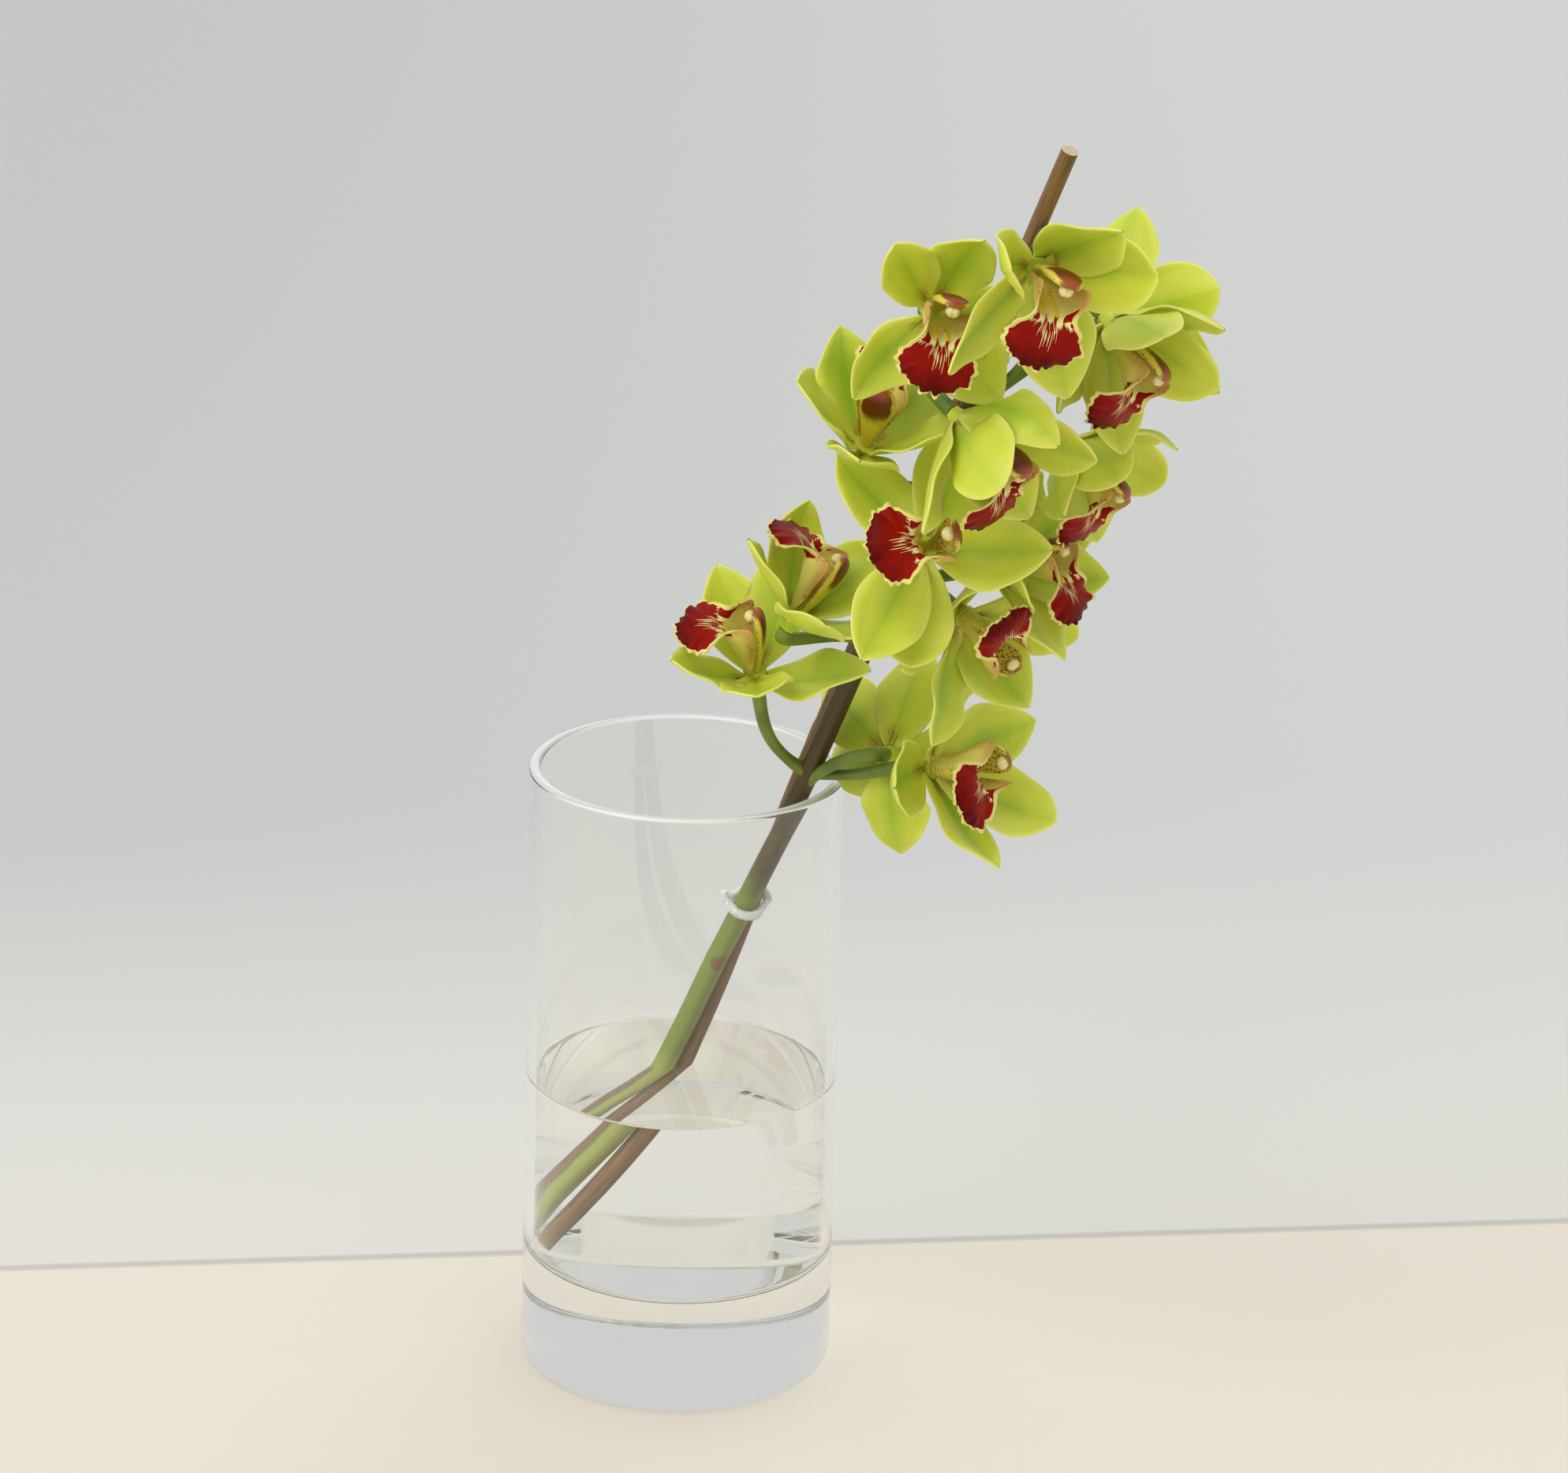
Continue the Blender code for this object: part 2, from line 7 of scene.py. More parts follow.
import bmesh
import bpy
from mathutils import Matrix, Vector, noise


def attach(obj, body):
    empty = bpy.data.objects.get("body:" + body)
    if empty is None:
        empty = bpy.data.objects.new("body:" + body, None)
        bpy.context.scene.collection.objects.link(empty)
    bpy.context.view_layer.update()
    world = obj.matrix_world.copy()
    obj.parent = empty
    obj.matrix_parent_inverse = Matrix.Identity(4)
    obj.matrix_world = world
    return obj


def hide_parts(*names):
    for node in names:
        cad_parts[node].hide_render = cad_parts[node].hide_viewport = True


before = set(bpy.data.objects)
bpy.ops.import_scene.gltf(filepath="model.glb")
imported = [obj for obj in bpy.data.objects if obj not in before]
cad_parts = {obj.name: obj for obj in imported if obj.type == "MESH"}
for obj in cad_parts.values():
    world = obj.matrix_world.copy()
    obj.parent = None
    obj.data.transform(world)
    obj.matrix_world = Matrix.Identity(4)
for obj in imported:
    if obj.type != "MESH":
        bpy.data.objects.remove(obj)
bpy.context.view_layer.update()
mm = 0.001
seamGap = 0.01 * mm
print("frame loaded,", len(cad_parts), "nodes")


# Small tools for the mesh work

def clearSelection():
    bpy.ops.object.select_all(action="DESELECT")


def pickOnly(piece):
    clearSelection()
    piece.select_set(True)
    bpy.context.view_layer.objects.active = piece


def named(name):
    piece = bpy.context.object
    piece.name = name
    piece.data.name = name
    return piece


def setAll(thing, settings):
    for setting, value in settings.items():
        setattr(thing, setting, value)


def applyModifier(piece, kind, **settings):
    pickOnly(piece)
    made = piece.modifiers.new(kind, kind)
    setAll(made, settings)
    bpy.ops.object.modifier_apply(modifier=made.name)


def smoothShade(piece, degrees=60):
    pickOnly(piece)
    bpy.ops.object.shade_smooth_by_angle(angle=radians(degrees))


def editMode(piece, kind, action):
    pickOnly(piece)
    bpy.ops.object.mode_set(mode="EDIT")
    bpy.ops.mesh.select_mode(type=kind)
    bpy.ops.mesh.select_all(action=action)


def objectMode():
    bpy.ops.object.mode_set(mode="OBJECT")


def choose(piece, kind, wanted):
    # leaves the piece in edit mode with the wanted faces or edges selected
    editMode(piece, kind, "DESELECT")
    objectMode()
    for part in piece.data.edges if kind == "EDGE" else piece.data.polygons:
        part.select = wanted(part)
    bpy.ops.object.mode_set(mode="EDIT")


def joined(pieces, name):
    clearSelection()
    for piece in pieces:
        piece.select_set(True)
    bpy.context.view_layer.objects.active = pieces[0]
    bpy.ops.object.join()
    return named(name)


def keepValues(piece, name, values):
    # a number for each point, or one for all, which a material reads by its name
    if isinstance(values, float):
        values = [values] * len(piece.data.vertices)
    piece.data.attributes.new(name, "FLOAT", "POINT").data.foreach_set("value", values)


def shapedGrid(across, along, placeOf):
    # a flat grid whose points are moved by placeOf(u, s), u from -1 to 1 and s from 0 to 1
    clearSelection()
    bpy.ops.mesh.primitive_grid_add(x_subdivisions=across, y_subdivisions=along, size=1)
    piece = bpy.context.object
    for point in piece.data.vertices:
        point.co = placeOf(2 * point.co.x, point.co.y + 0.5)
    return piece


def gridValues(shape, valueOf):
    # valueOf(off, s) for each point of a shapedGrid, off from 0 at the middle to 1 at the sides
    across, along = shape["across"], shape["along"]
    return [
        valueOf(abs(2 * column / across - 1), row / along)
        for row in range(along + 1) for column in range(across + 1)
    ]


def closeSeams(piece):
    editMode(piece, "VERT", "SELECT")
    bpy.ops.mesh.remove_doubles(threshold=seamGap)
    bpy.ops.mesh.normals_make_consistent(inside=False)
    objectMode()


def smoothRow(rows, place):
    # rows of numbers read smoothly at a place counted in rows
    last = len(rows) - 1
    i = min(int(place), last - 1)
    t = place - i
    four = (rows[max(i - 1, 0)], rows[i], rows[i + 1], rows[min(i + 2, last)])
    return [
        0.5 * (
            2 * b + (c - a) * t + (2 * a - 5 * b + 4 * c - d) * t * t
            + (3 * b - a - 3 * c + d) * t ** 3
        )
        for a, b, c, d in zip(*four)
    ]


def bump(value, middle, width):
    return exp(-((value - middle) / width) ** 2)


def eased(value, low, high):
    t = min(max((value - low) / (high - low), 0), 1)
    return t * t * (3 - 2 * t)


def withEnds(route):
    # a tube's (point, radius) pairs with a flat end at each end
    return [(route[0][0], 0.0), *route, (route[-1][0], 0.0)]


def roundTube(route, sides, crossSection=None):
    # a tube along (point, radius) pairs; crossSection(turn, share) stretches the radius round it
    count = len(route)
    places = [point for point, radius in route]
    ups, tangents = [], []
    for i in range(count):
        low, high = max(i - 1, 0), min(i + 1, count - 1)
        while (places[high] - places[low]).length < seamGap:
            low, high = max(low - 1, 0), min(high + 1, count - 1)
        tangents.append((places[high] - places[low]).normalized())
    up = tangents[0].orthogonal()
    for tangent in tangents:
        up = (up - tangent * up.dot(tangent)).normalized()
        ups.append(up)

    def place(u, s):
        i = min(int(round(s * (count - 1))), count - 1)
        turn = pi * (u + 1)
        reach = route[i][1] * (crossSection(turn, s) if crossSection else 1)
        side = tangents[i].cross(ups[i])
        return places[i] + (side * cos(turn) + ups[i] * sin(turn)) * reach

    piece = shapedGrid(sides, count - 1, place)
    closeSeams(piece)
    return piece


# Shader maths

class Wire:
    # a node's output that can be used in sums; a name among its inputs is one of the look's colours
    def __init__(self, tree, look, socket=None):
        self.tree = tree
        self.look = look
        self.socket = socket

    def node(self, kind, settings=None, sockets=None, output=0):
        made = self.tree.nodes.new(kind)
        setAll(made, settings or {})
        for name, value in (sockets or {}).items():
            if isinstance(value, Wire):
                self.tree.links.new(value.socket, made.inputs[name])
            else:
                made.inputs[name].default_value = self.look.get(value, value)
        return Wire(self.tree, self.look, made.outputs[output])

    def maths(self, operation, first, second=0.0):
        return self.node("ShaderNodeMath", {"operation": operation}, {0: first, 1: second})

    def __add__(self, other):
        return self.maths("ADD", self, other)

    def __sub__(self, other):
        return self.maths("SUBTRACT", self, other)

    def __rsub__(self, other):
        return self.maths("SUBTRACT", other, self)

    def __mul__(self, other):
        return self.maths("MULTIPLY", self, other)

    def __abs__(self):
        return self.maths("ABSOLUTE", self)

    __radd__ = __add__
    __rmul__ = __mul__

    def sine(self):
        return self.maths("SINE", self)

    def most(self, other):
        return self.maths("MAXIMUM", self, other)

    def eased(self, low, high):
        # 0 below low, 1 above high
        settings = {"interpolation_type": "SMOOTHSTEP"}
        sockets = {"Value": self, "From Min": low, "From Max": high}
        return self.node("ShaderNodeMapRange", settings, sockets)

    def faded(self, low, high):
        # 1 below low, 0 above high
        return 1 - self.eased(low, high)

    def mixed(self, first, second):
        # this factor between two colours
        return self.node("ShaderNodeMix", {"data_type": "RGBA"}, {0: self, 6: first, 7: second}, 2)

    def layered(self, *layers):
        # this colour with others laid over it in turn, each by its factor
        colour = self
        for factor, name in layers:
            colour = factor.mixed(colour, name)
        return colour

    def vectorMaths(self, operation, other, output=0):
        return self.node("ShaderNodeVectorMath", {"operation": operation}, {0: self, 1: other}, output)

    def stretched(self, scale):
        return self.vectorMaths("MULTIPLY", scale)

    def part(self, axis):
        # x, y or z of a place, for axis 0, 1 or 2
        return self.node("ShaderNodeSeparateXYZ", None, {0: self}, axis)

    def speckle(self, scale, detail=2.0, roughness=0.5):
        sockets = {"Vector": self, "Scale": scale, "Detail": detail, "Roughness": roughness}
        return self.node("ShaderNodeTexNoise", None, sockets)

    def cells(self, scale):
        return self.node("ShaderNodeTexVoronoi", None, {"Vector": self, "Scale": scale})

    def bumped(self, distance, strength):
        sockets = {"Height": self, "Distance": distance, "Strength": strength}
        return self.node("ShaderNodeBump", None, sockets)


def paint(red, green, blue):
    # a colour as seen on a screen, 0 to 255, in the renderer's own light
    seen = (red / 255, green / 255, blue / 255)
    return (*(((c + 0.055) / 1.055) ** 2.4 if c > 0.04 else c / 12.92 for c in seen), 1)


def shaderInput(made, name):
    return made.node_tree.nodes["Principled BSDF"].inputs[name.replace("_", " ")]


def newMaterial(name, look=None, glow=(), **fixed):
    # glow: how much light goes under the skin, how deep, and how far its red, green and blue
    made = bpy.data.materials.new(name)
    made.use_nodes = True
    fixed.update(zip(("Subsurface_Weight", "Subsurface_Scale", "Subsurface_Radius"), glow))
    for socket, value in fixed.items():
        shaderInput(made, socket).default_value = value
    colours = {colour: paint(*seen) for colour, seen in (look or {}).items()}
    return made, Wire(made.node_tree, colours)


def feed(made, **wires):
    for socket, wire in wires.items():
        wire.tree.links.new(wire.socket, shaderInput(made, socket))
    return made


def ownMap(wire):
    # across from -1 to 1, and along from 0 to 1
    uv = wire.node("ShaderNodeUVMap", {"uv_map": "UVMap"})
    return uv, uv.part(0) * 2 - 1, uv.part(1)


def attribute(wire, name):
    return wire.node("ShaderNodeAttribute", {"attribute_name": name}, None, 2)


def objectPlace(wire):
    return wire.node("ShaderNodeTexCoord", None, None, 3)


# Tepals: the three sepals and two petals of a bloom

tepalLook = {
    "yellow": (214, 221, 74),
    "green": (160, 190, 42),
    "deepGreen": (122, 164, 26),
    "margin": (240, 240, 130),
    "tip": (104, 122, 44),
    "rootMark": (150, 66, 26),
}


def tepalMaterial():
    made, wire = newMaterial(
        "tepal", tepalLook, (0.45, 0.003, (0.8, 1.0, 0.15)), Roughness=0.42, Specular_IOR_Level=0.35,
    )
    uv, across, along = ownMap(wire)
    spot = objectPlace(wire)
    rim, tint, sepal = (attribute(wire, name) for name in ("rim", "tint", "sepal"))
    off = abs(across)
    patches = spot.speckle(28, 3)
    grain = spot.speckle(900, 2)
    band = off.faded(0.0, 0.6) * (1 - along.eased(0.5, 1.0) * 0.5)
    greenness = band * 0.45 + tint + patches * 1.2 - 0.52
    midline = off.faded(0.0, 0.09) * along.faded(0.4, 0.9) * 0.2
    veins = (across * 62 + patches * 4).sine() * 0.5 + 0.5
    veins = veins * off.faded(0.6, 0.9) * 0.045
    light = rim.faded(0.5, 5.0) * 0.3 + rim.faded(0.2, 0.8) * 0.4
    streak = uv.stretched((9, 2, 1)).speckle(5, 3)
    mark = along.faded(0.08, 0.25) * off.faded(0.15, 0.6) * streak.eased(0.38, 0.6)
    tip = along.eased(0.987, 0.997) * off.faded(0.2, 0.6) * sepal
    colour = greenness.eased(0.0, 1.0).mixed("yellow", "green").layered(
        (midline, "deepGreen"), (veins, "deepGreen"), (grain.eased(0.45, 0.75) * 0.1, "green"),
        (light, "margin"), (mark * 0.9, "rootMark"), (tip * 0.8, "tip"),
    )
    relief = veins * 3 + grain * 0.15
    return feed(made, Base_Color=colour, Normal=relief.bumped(0.00035, 0.6))


tepalShape = {
    "length": 53 * mm,
    "halfWidth": 16.6 * mm,
    "thickness": 1.1 * mm,
    "rootRadius": 4.0 * mm,
    "petalRootDepth": 0.9 * mm,
    "sepalRootDepth": 3.0 * mm,
    "across": 14,
    "along": 22,
    "cup": 0.3,
    "crease": 0.6 * mm,
    "ripple": 2.0 * mm,
    "lumps": 0.8 * mm,
    "hooks": (3.5, 2.0, -2.0),
}

# A bloom's centre in millimetres, facing (azimuth, elevation and roll in degrees) and size; the
# height where its stalk leaves the stem, in which direction, and how far it runs straight to the
# bloom. Then each tepal's place round the bloom (degrees clockwise from the top), lift forward,
# bend and length share.
tepalNames = ("dorsal", "petalLeft", "petalRight", "sepalLeft", "sepalRight")
bloomValues = ("centre", "facing", "size", "joint", "leave", "rise", *tepalNames)
bloomRows = {
    "01": ((137, -200, 589), (15, -3, 17), 1.05, 545, (0.1, -0.8, 0.8), 26, (19, 58, 13, 0.97),
        (-85, 58, 45, 0.85), (64, 44, 12, 0.92), (-148, 19, 17, 0.99), (146, 3, 15, 0.99)),
    "02": ((97, -176, 565), (10, 11, 15), 1.03, 508, (-0.3, -0.7, 0.8), 26, (10, 48, 31, 0.86),
        (-53, 45, 21, 0.82), (88, -22, 32, 0.88), (-157, -31, 33, 0.93), (127, -16, 10, 0.88)),
    "03": ((174, -149, 552), (35, -30, 35), 1.0, 505, (0.9, -0.4, 0.5), 26, (-2, 48, 30, 1),
        (-60, 52, 35, 1), (63, 55, 13, 0.92), (-150, 32, 15, 0.9), (142, 42, 14, 1)),
    "04": ((112, -173, 516), (47, -30, -3), 1.05, 493, (-0.1, -1, 0.6), 26, (-11, 56, 46, 1.04),
        (-64, 55, 30, 1.01), (74, 58, 26, 1), (-118, 39, 22, 0.98), (139, 42, 1, 0.98)),
    "05": ((73, -122, 492), (22, 60, -145), 1.02, 460, (-0.6, -0.6, 0.8), 26, (-3, 42, 24, 0.96),
        (-66, 47, 5, 0.96), (58, 50, 18, 1), (-157, 21, 8, 0.88), (144, 34, 20, 0.95)),
    "06": ((163, -113, 489), (43, -32, 25), 0.95, 455, (0.8, -0.2, 0.8), 26, (0, 46, 30, 1),
        (-66, 52, 35, 1), (77, 28, 14, 0.94), (-112, 46, 20, 1), (127, 32, 8, 0.98)),
    "07": ((99, -145, 453), (12, 27, 82), 1.03, 425, (0.1, -0.9, 0.6), 26, (18, 38, 14, 1.04),
        (-55, 1, 25, 1), (108, -9, 31, 0.89), (-119, -10, 6, 0.94), (133, 11, 15, 1.05)),
    "08": ((136, -106, 434), (55, 20, -2), 0.97, 410, (0.8, -0.5, 0.6), 26, (7, 40, 19, 0.9),
        (-93, 43, -13, 0.9), (74, 32, 15, 0.95), (-172, 28, -6, 0.92), (119, 36, 13, 0.94)),
    "09": ((119, -112, 412), (45, -25, 149), 0.98, 385, (0.5, -0.7, 0.7), 26, (-5, 52, 20, 0.98),
        (-53, 30, 42, 1.09), (61, 34, 14, 1.06), (-179, 24, 23, 0.84), (116, 21, 23, 0.95)),
    "10": ((46, -103, 408), (74, 60, -171), 1.0, 385, (-0.8, -0.7, 0.5), 9, (-2, 34, 15, 1),
        (-69, 59, 25, 0.9), (62, 27, 21, 0.94), (-140, 47, 24, 1), (128, 36, -16, 1)),
    "11": ((29, -79, 374), (-18, 64, 74), 1.0, 312, (-0.9, -0.2, 0.6), 20, (25, 23, 29, 1.11),
        (-59, 45, 16, 1.01), (84, 36, 22, 0.91), (-110, 42, 16, 0.94), (147, 41, 16, 0.93)),
    "12": ((110, -89, 334), (57, 13, 68), 1.05, 313, (1, -0.5, 0), 26, (14, 33, 13, 0.98),
        (-78, 35, 15, 0.95), (74, 46, 15, 1.05), (-152, 14, 20, 0.95), (118, 35, 16, 0.95)),
    "13": ((92, -56, 327), (156, -20, -21), 0.98, 292, (0.3, -0.1, 1), 24, (18, 23, 12, 1),
        (-60, 13, 15, 0.96), (78, 24, 16, 0.99), (-153, 29, 18, 0.93), (126, 41, 7, 1)),
    "14": ((180, -105, 545), (148, -4, 9), 0.95, 500, (0.8, -0.1, 0.8), 26, (0, 30, 20, 1),
        (-75, -10, 10, 1), (72, 30, 15, 1), (-130, 20, 15, 1), (128, 24, 15, 1)),
}
blooms = {number: dict(zip(bloomValues, row)) for number, row in bloomRows.items()}


def bloomPlace(bloom):
    azimuth, elevation, roll = (radians(angle) for angle in bloom["facing"])
    facing = Vector((
        sin(azimuth) * cos(elevation),
        -cos(azimuth) * cos(elevation),
        sin(elevation),
    ))
    upright = Vector((0, 0, 1))
    upright = (upright - facing * upright.dot(facing)).normalized()
    side = upright.cross(facing)
    top = upright * cos(roll) + side * sin(roll)
    turned = Matrix((top.cross(facing), top, facing)).transposed().to_4x4()
    return Matrix.Translation(Vector(bloom["centre"]) * mm) @ turned


def tepalOutline(s, isPetal):
    widest = 0.54 if isPetal else 0.48
    if s < widest:
        return 0.22 + 0.78 * sin(pi / 2 * s / widest)
    past = (s - widest) / (1 - widest)
    if isPetal:
        return 0.04 + 0.96 * max(1 - past ** 2.4, 0) ** 0.7
    return 0.04 + 0.96 * max(1 - past ** 1.75, 0) ** 0.85


# For the tepals that stand out: how far the tip hooks forward in millimetres, the turn about the
# tepal's own length in degrees, and the share of the full width
folds = {
    ("01", "petalLeft"): (3, -48, 0.86),
    ("01", "sepalLeft"): (3, 36, 0.8),
    ("02", "dorsal"): (3, 0, 0.86),
    ("02", "petalLeft"): (-2, 10, 0.76),
    ("02", "petalRight"): (2, 0, 0.9),
    ("02", "sepalLeft"): (3, 20, 0.86),
    ("04", "dorsal"): (9, -28, 0.86),
    ("06", "dorsal"): (6, 0, 1),
    ("07", "sepalLeft"): (4, 0, 0.88),
}


def tepalSheet(number, bloom, name, draw):
    shape = tepalShape
    size = bloom["size"]
    azimuth, lift, bend, length = bloom[name]
    lift, bend, turn = radians(lift), radians(bend), radians(azimuth)
    isPetal = name.startswith("petal")
    outward = Vector((sin(turn), cos(turn), 0))
    forward = Vector((0, 0, 1))
    side = outward.cross(forward)
    depth = shape["petalRootDepth"] if isPetal else shape["sepalRootDepth"]
    root = outward * shape["rootRadius"] - forward * depth
    reach = shape["length"] * length * size
    start = lift - bend / 2
    ownTwist = radians(draw.uniform(-7, 7))
    waves = draw.uniform(1.4, 2.2)
    phases = {1: draw.uniform(0, 6.3), -1: draw.uniform(0, 6.3)}
    rollBack = draw.uniform(0.02, 0.14)
    usualHook = draw.choice(shape["hooks"])
    hook, foldTurn, widthShare = folds.get((number, name), (usualHook, 0, 1))
    halfWidth = shape["halfWidth"] * size * widthShare
    skew = draw.uniform(-0.08, 0.08)
    crease = shape["crease"] * draw.uniform(0.6, 1.4)

    def place(u, s):
        angle = start + bend * s
        if abs(bend) < 0.01:
            ahead, rise = cos(lift) * s, sin(lift) * s
        else:
            ahead = (sin(angle) - sin(start)) / bend
            rise = (cos(start) - cos(angle)) / bend
        middle = root + (outward * ahead + forward * rise) * reach
        normal = forward * cos(angle) - outward * sin(angle)
        twist = ownTwist * (s - 0.35) + radians(foldTurn) * eased(s, 0.0, 0.6)
        across = side * cos(twist) + normal * sin(twist)
        normal = normal * cos(twist) - side * sin(twist)
        width = halfWidth * tepalOutline(s, isPetal)
        off = abs(u)
        width *= 1 + skew * u * sin(pi * s)
        cup = shape["cup"] * width * u * u - 0.05 * width * (1 - off)
        cup -= rollBack * width * eased(off, 0.7, 1.15) * 2
        cup -= crease * bump(u, 0, 0.08) * (1 - 0.7 * s)
        wave = sin(2 * pi * waves * s + phases[1 if u > 0 else -1])
        cup += shape["ripple"] * off ** 3 * wave * sin(pi * min(s + 0.05, 1))
        flat = middle + across * width * u
        cup += shape["lumps"] * noise.noise(flat * 45 + Vector((azimuth, 0, 0)))
        cup += hook * mm * eased(s, 0.72, 1.08)
        return flat + normal * cup

    def rimOf(off, s):
        # about how far in millimetres a point lies from the tepal's edge
        width = halfWidth * tepalOutline(s, isPetal) / mm
        toTip = (1 - s) * reach / mm + 0.8
        return min((1 - off) * width * (0.55 if s > 0.9 else 1), toTip)

    piece = shapedGrid(shape["across"], shape["along"], place)
    keepValues(piece, "rim", gridValues(shape, rimOf))
    keepValues(piece, "tint", draw.uniform(-0.15, 0.22))
    keepValues(piece, "sepal", 0.0 if isPetal else 1.0)
    applyModifier(piece, "SOLIDIFY", thickness=shape["thickness"], offset=0)
    applyModifier(piece, "SUBSURF", levels=1, render_levels=1)
    return piece


receptacleShape = {
    "depth": 8 * mm,
    "ovaryRadius": 3.3 * mm,
    "neckRadius": 4.1 * mm,
    "frontRadius": 5.4 * mm,
    "sides": 24,
}


def receptacle():
    names = ("depth", "ovaryRadius", "neckRadius", "frontRadius")
    depth, ovary, neck, front = (receptacleShape[name] for name in names)
    rows = (
        (-depth, 0), (-depth, ovary * 0.8), (-depth * 0.97, ovary), (-depth * 0.8, ovary * 1.04),
        (-depth * 0.5, neck), (-depth * 0.2, front * 0.96), (0, front), (0.5 * mm, front * 0.7),
        (0.6 * mm, 0),
    )

    def ribs(turn, share):
        return 1 + 0.05 * cos(6 * turn)

    route = [(Vector((0, 0, height)), radius) for height, radius in rows]
    piece = roundTube(route, receptacleShape["sides"], ribs)
    keepValues(piece, "rim", 6.0)
    keepValues(piece, "tint", 0.3)
    return piece


def buildTepals(number, bloom, material):
    draw = random.Random(100 + int(number))
    blades = [tepalSheet(number, bloom, name, draw) for name in tepalNames]
    piece = joined(blades + [receptacle()], f"bloom{number}Tepals")
    piece.data.transform(bloomPlace(bloom))
    piece.data.materials.clear()
    piece.data.materials.append(material)
    smoothShade(piece)
    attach(piece, "root")
    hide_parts("bloom_" + number + "_tepals")


# Lip: floor forward and down, half the width along the curve, and how far the sides turn up

lipShape = {
    "rows": (
        (0.9, -3.6, 4.2, 62), (7, -5.2, 8.5, 92), (15, -7.2, 13, 98), (23, -10.0, 16, 88),
        (27.8, -12.6, 10.4, 58), (30.4, -16.6, 15.6, -6), (31.2, -21.5, 17, -18),
        (30.8, -26.3, 15.2, -20), (29.3, -30, 10, -22), (28, -32, 5, -24),
    ),
    "across": 60,
    "along": 110,
    "length": 34,
    "thickness": 0.8 * mm,
    "ruffle": 1.5 * mm,
    "ruffles": 15,
    "frill": 1.0 * mm,
    "lobeMiddle": (0, -21, 30.8),
    "keelHeight": 1.5 * mm,
    "keelOff": 2.4,
    "earForward": 5.6 * mm,
    "earUp": 3.6 * mm,
}


def lipSheet(bloom, draw):
    shape = lipShape
    rows = shape["rows"]
    last = len(rows) - 1
    phase = draw.uniform(0, 6.3)
    uneven = draw.uniform(0, 50)

    def reading(s):
        return smoothRow(rows, min(max(s, 0), 1) * last)

    def place(u, s):
        u = -u
        z, y, half, turn = reading(s)
        ahead, behind = reading(s + 0.03), reading(s - 0.03)
        along = Vector((0, ahead[1] - behind[1], ahead[0] - behind[0])).normalized()
        normal = Vector((0, along.z, -along.y))
        off = abs(u)
        sign = 1 if u > 0 else -1
        bend = radians(turn) * off
        reach = half * off
        if abs(bend) < 0.001:
            across, rise = reach, 0
        else:
            across = reach * sin(bend) / bend
            rise = reach * (1 - cos(bend)) / bend
        inward = normal * cos(bend) - Vector((sign * sin(bend), 0, 0))
        point = (Vector((sign * across, y, z)) + normal * rise) * mm
        middle = eased(s, 0.47, 0.57)
        around = atan2(u * half, (s - 0.54) * shape["length"])
        drift = 2.2 * noise.noise((around * 2, uneven, 0))
        wave = sin(shape["ruffles"] * around + phase + drift)
        edge = max(off ** 3.2, eased(s, 0.82, 1.0) ** 1.6)
        height = 0.8 + 0.9 * noise.noise((around * 3, uneven, 5))
        lift = shape["ruffle"] * wave * edge * middle * height
        lift -= 1.6 * mm * middle * off ** 2.5 * (0.5 + noise.noise((around * 1.3, uneven, 9)))
        frill = sin(2.3 * shape["ruffles"] * around + 2 * phase) * 0.6 + wave * 0.4
        frill = shape["frill"] * frill * max(off ** 5, eased(s, 0.88, 1.0)) * middle
        sideWave = sin(26 * s + phase) * 0.6 * mm * off ** 5 * (1 - middle)
        keel = bump(reach, shape["keelOff"], 0.95)
        keel *= eased(s, 0.08, 0.2) * (1 - eased(s, 0.40, 0.48))
        ear = bump(s, 0.35, 0.075) * off ** 3
        point += (point - Vector(shape["lobeMiddle"]) * mm).normalized() * frill
        point += inward * (lift + sideWave + keel * shape["keelHeight"])
        point += Vector((0, shape["earUp"], shape["earForward"])) * ear
        return point * bloom["size"]

    def rimOf(off, s):
        return min((1 - off) * reading(s)[2], (1 - s) * shape["length"])

    piece = shapedGrid(shape["across"], shape["along"], place)
    keepValues(piece, "rim", gridValues(shape, rimOf))
    applyModifier(piece, "SOLIDIFY", thickness=shape["thickness"], offset=0, material_offset=1)
    return piece


lipLook = {
    "cream": (242, 238, 166),
    "edge": (236, 224, 128),
    "throat": (234, 220, 104),
    "wing": (222, 206, 92),
    "keel": (242, 222, 70),
    "red": (150, 22, 10),
    "darkRed": (82, 6, 4),
    "pink": (198, 112, 88),
    "brown": (118, 38, 20),
    "back": (220, 214, 126),
}


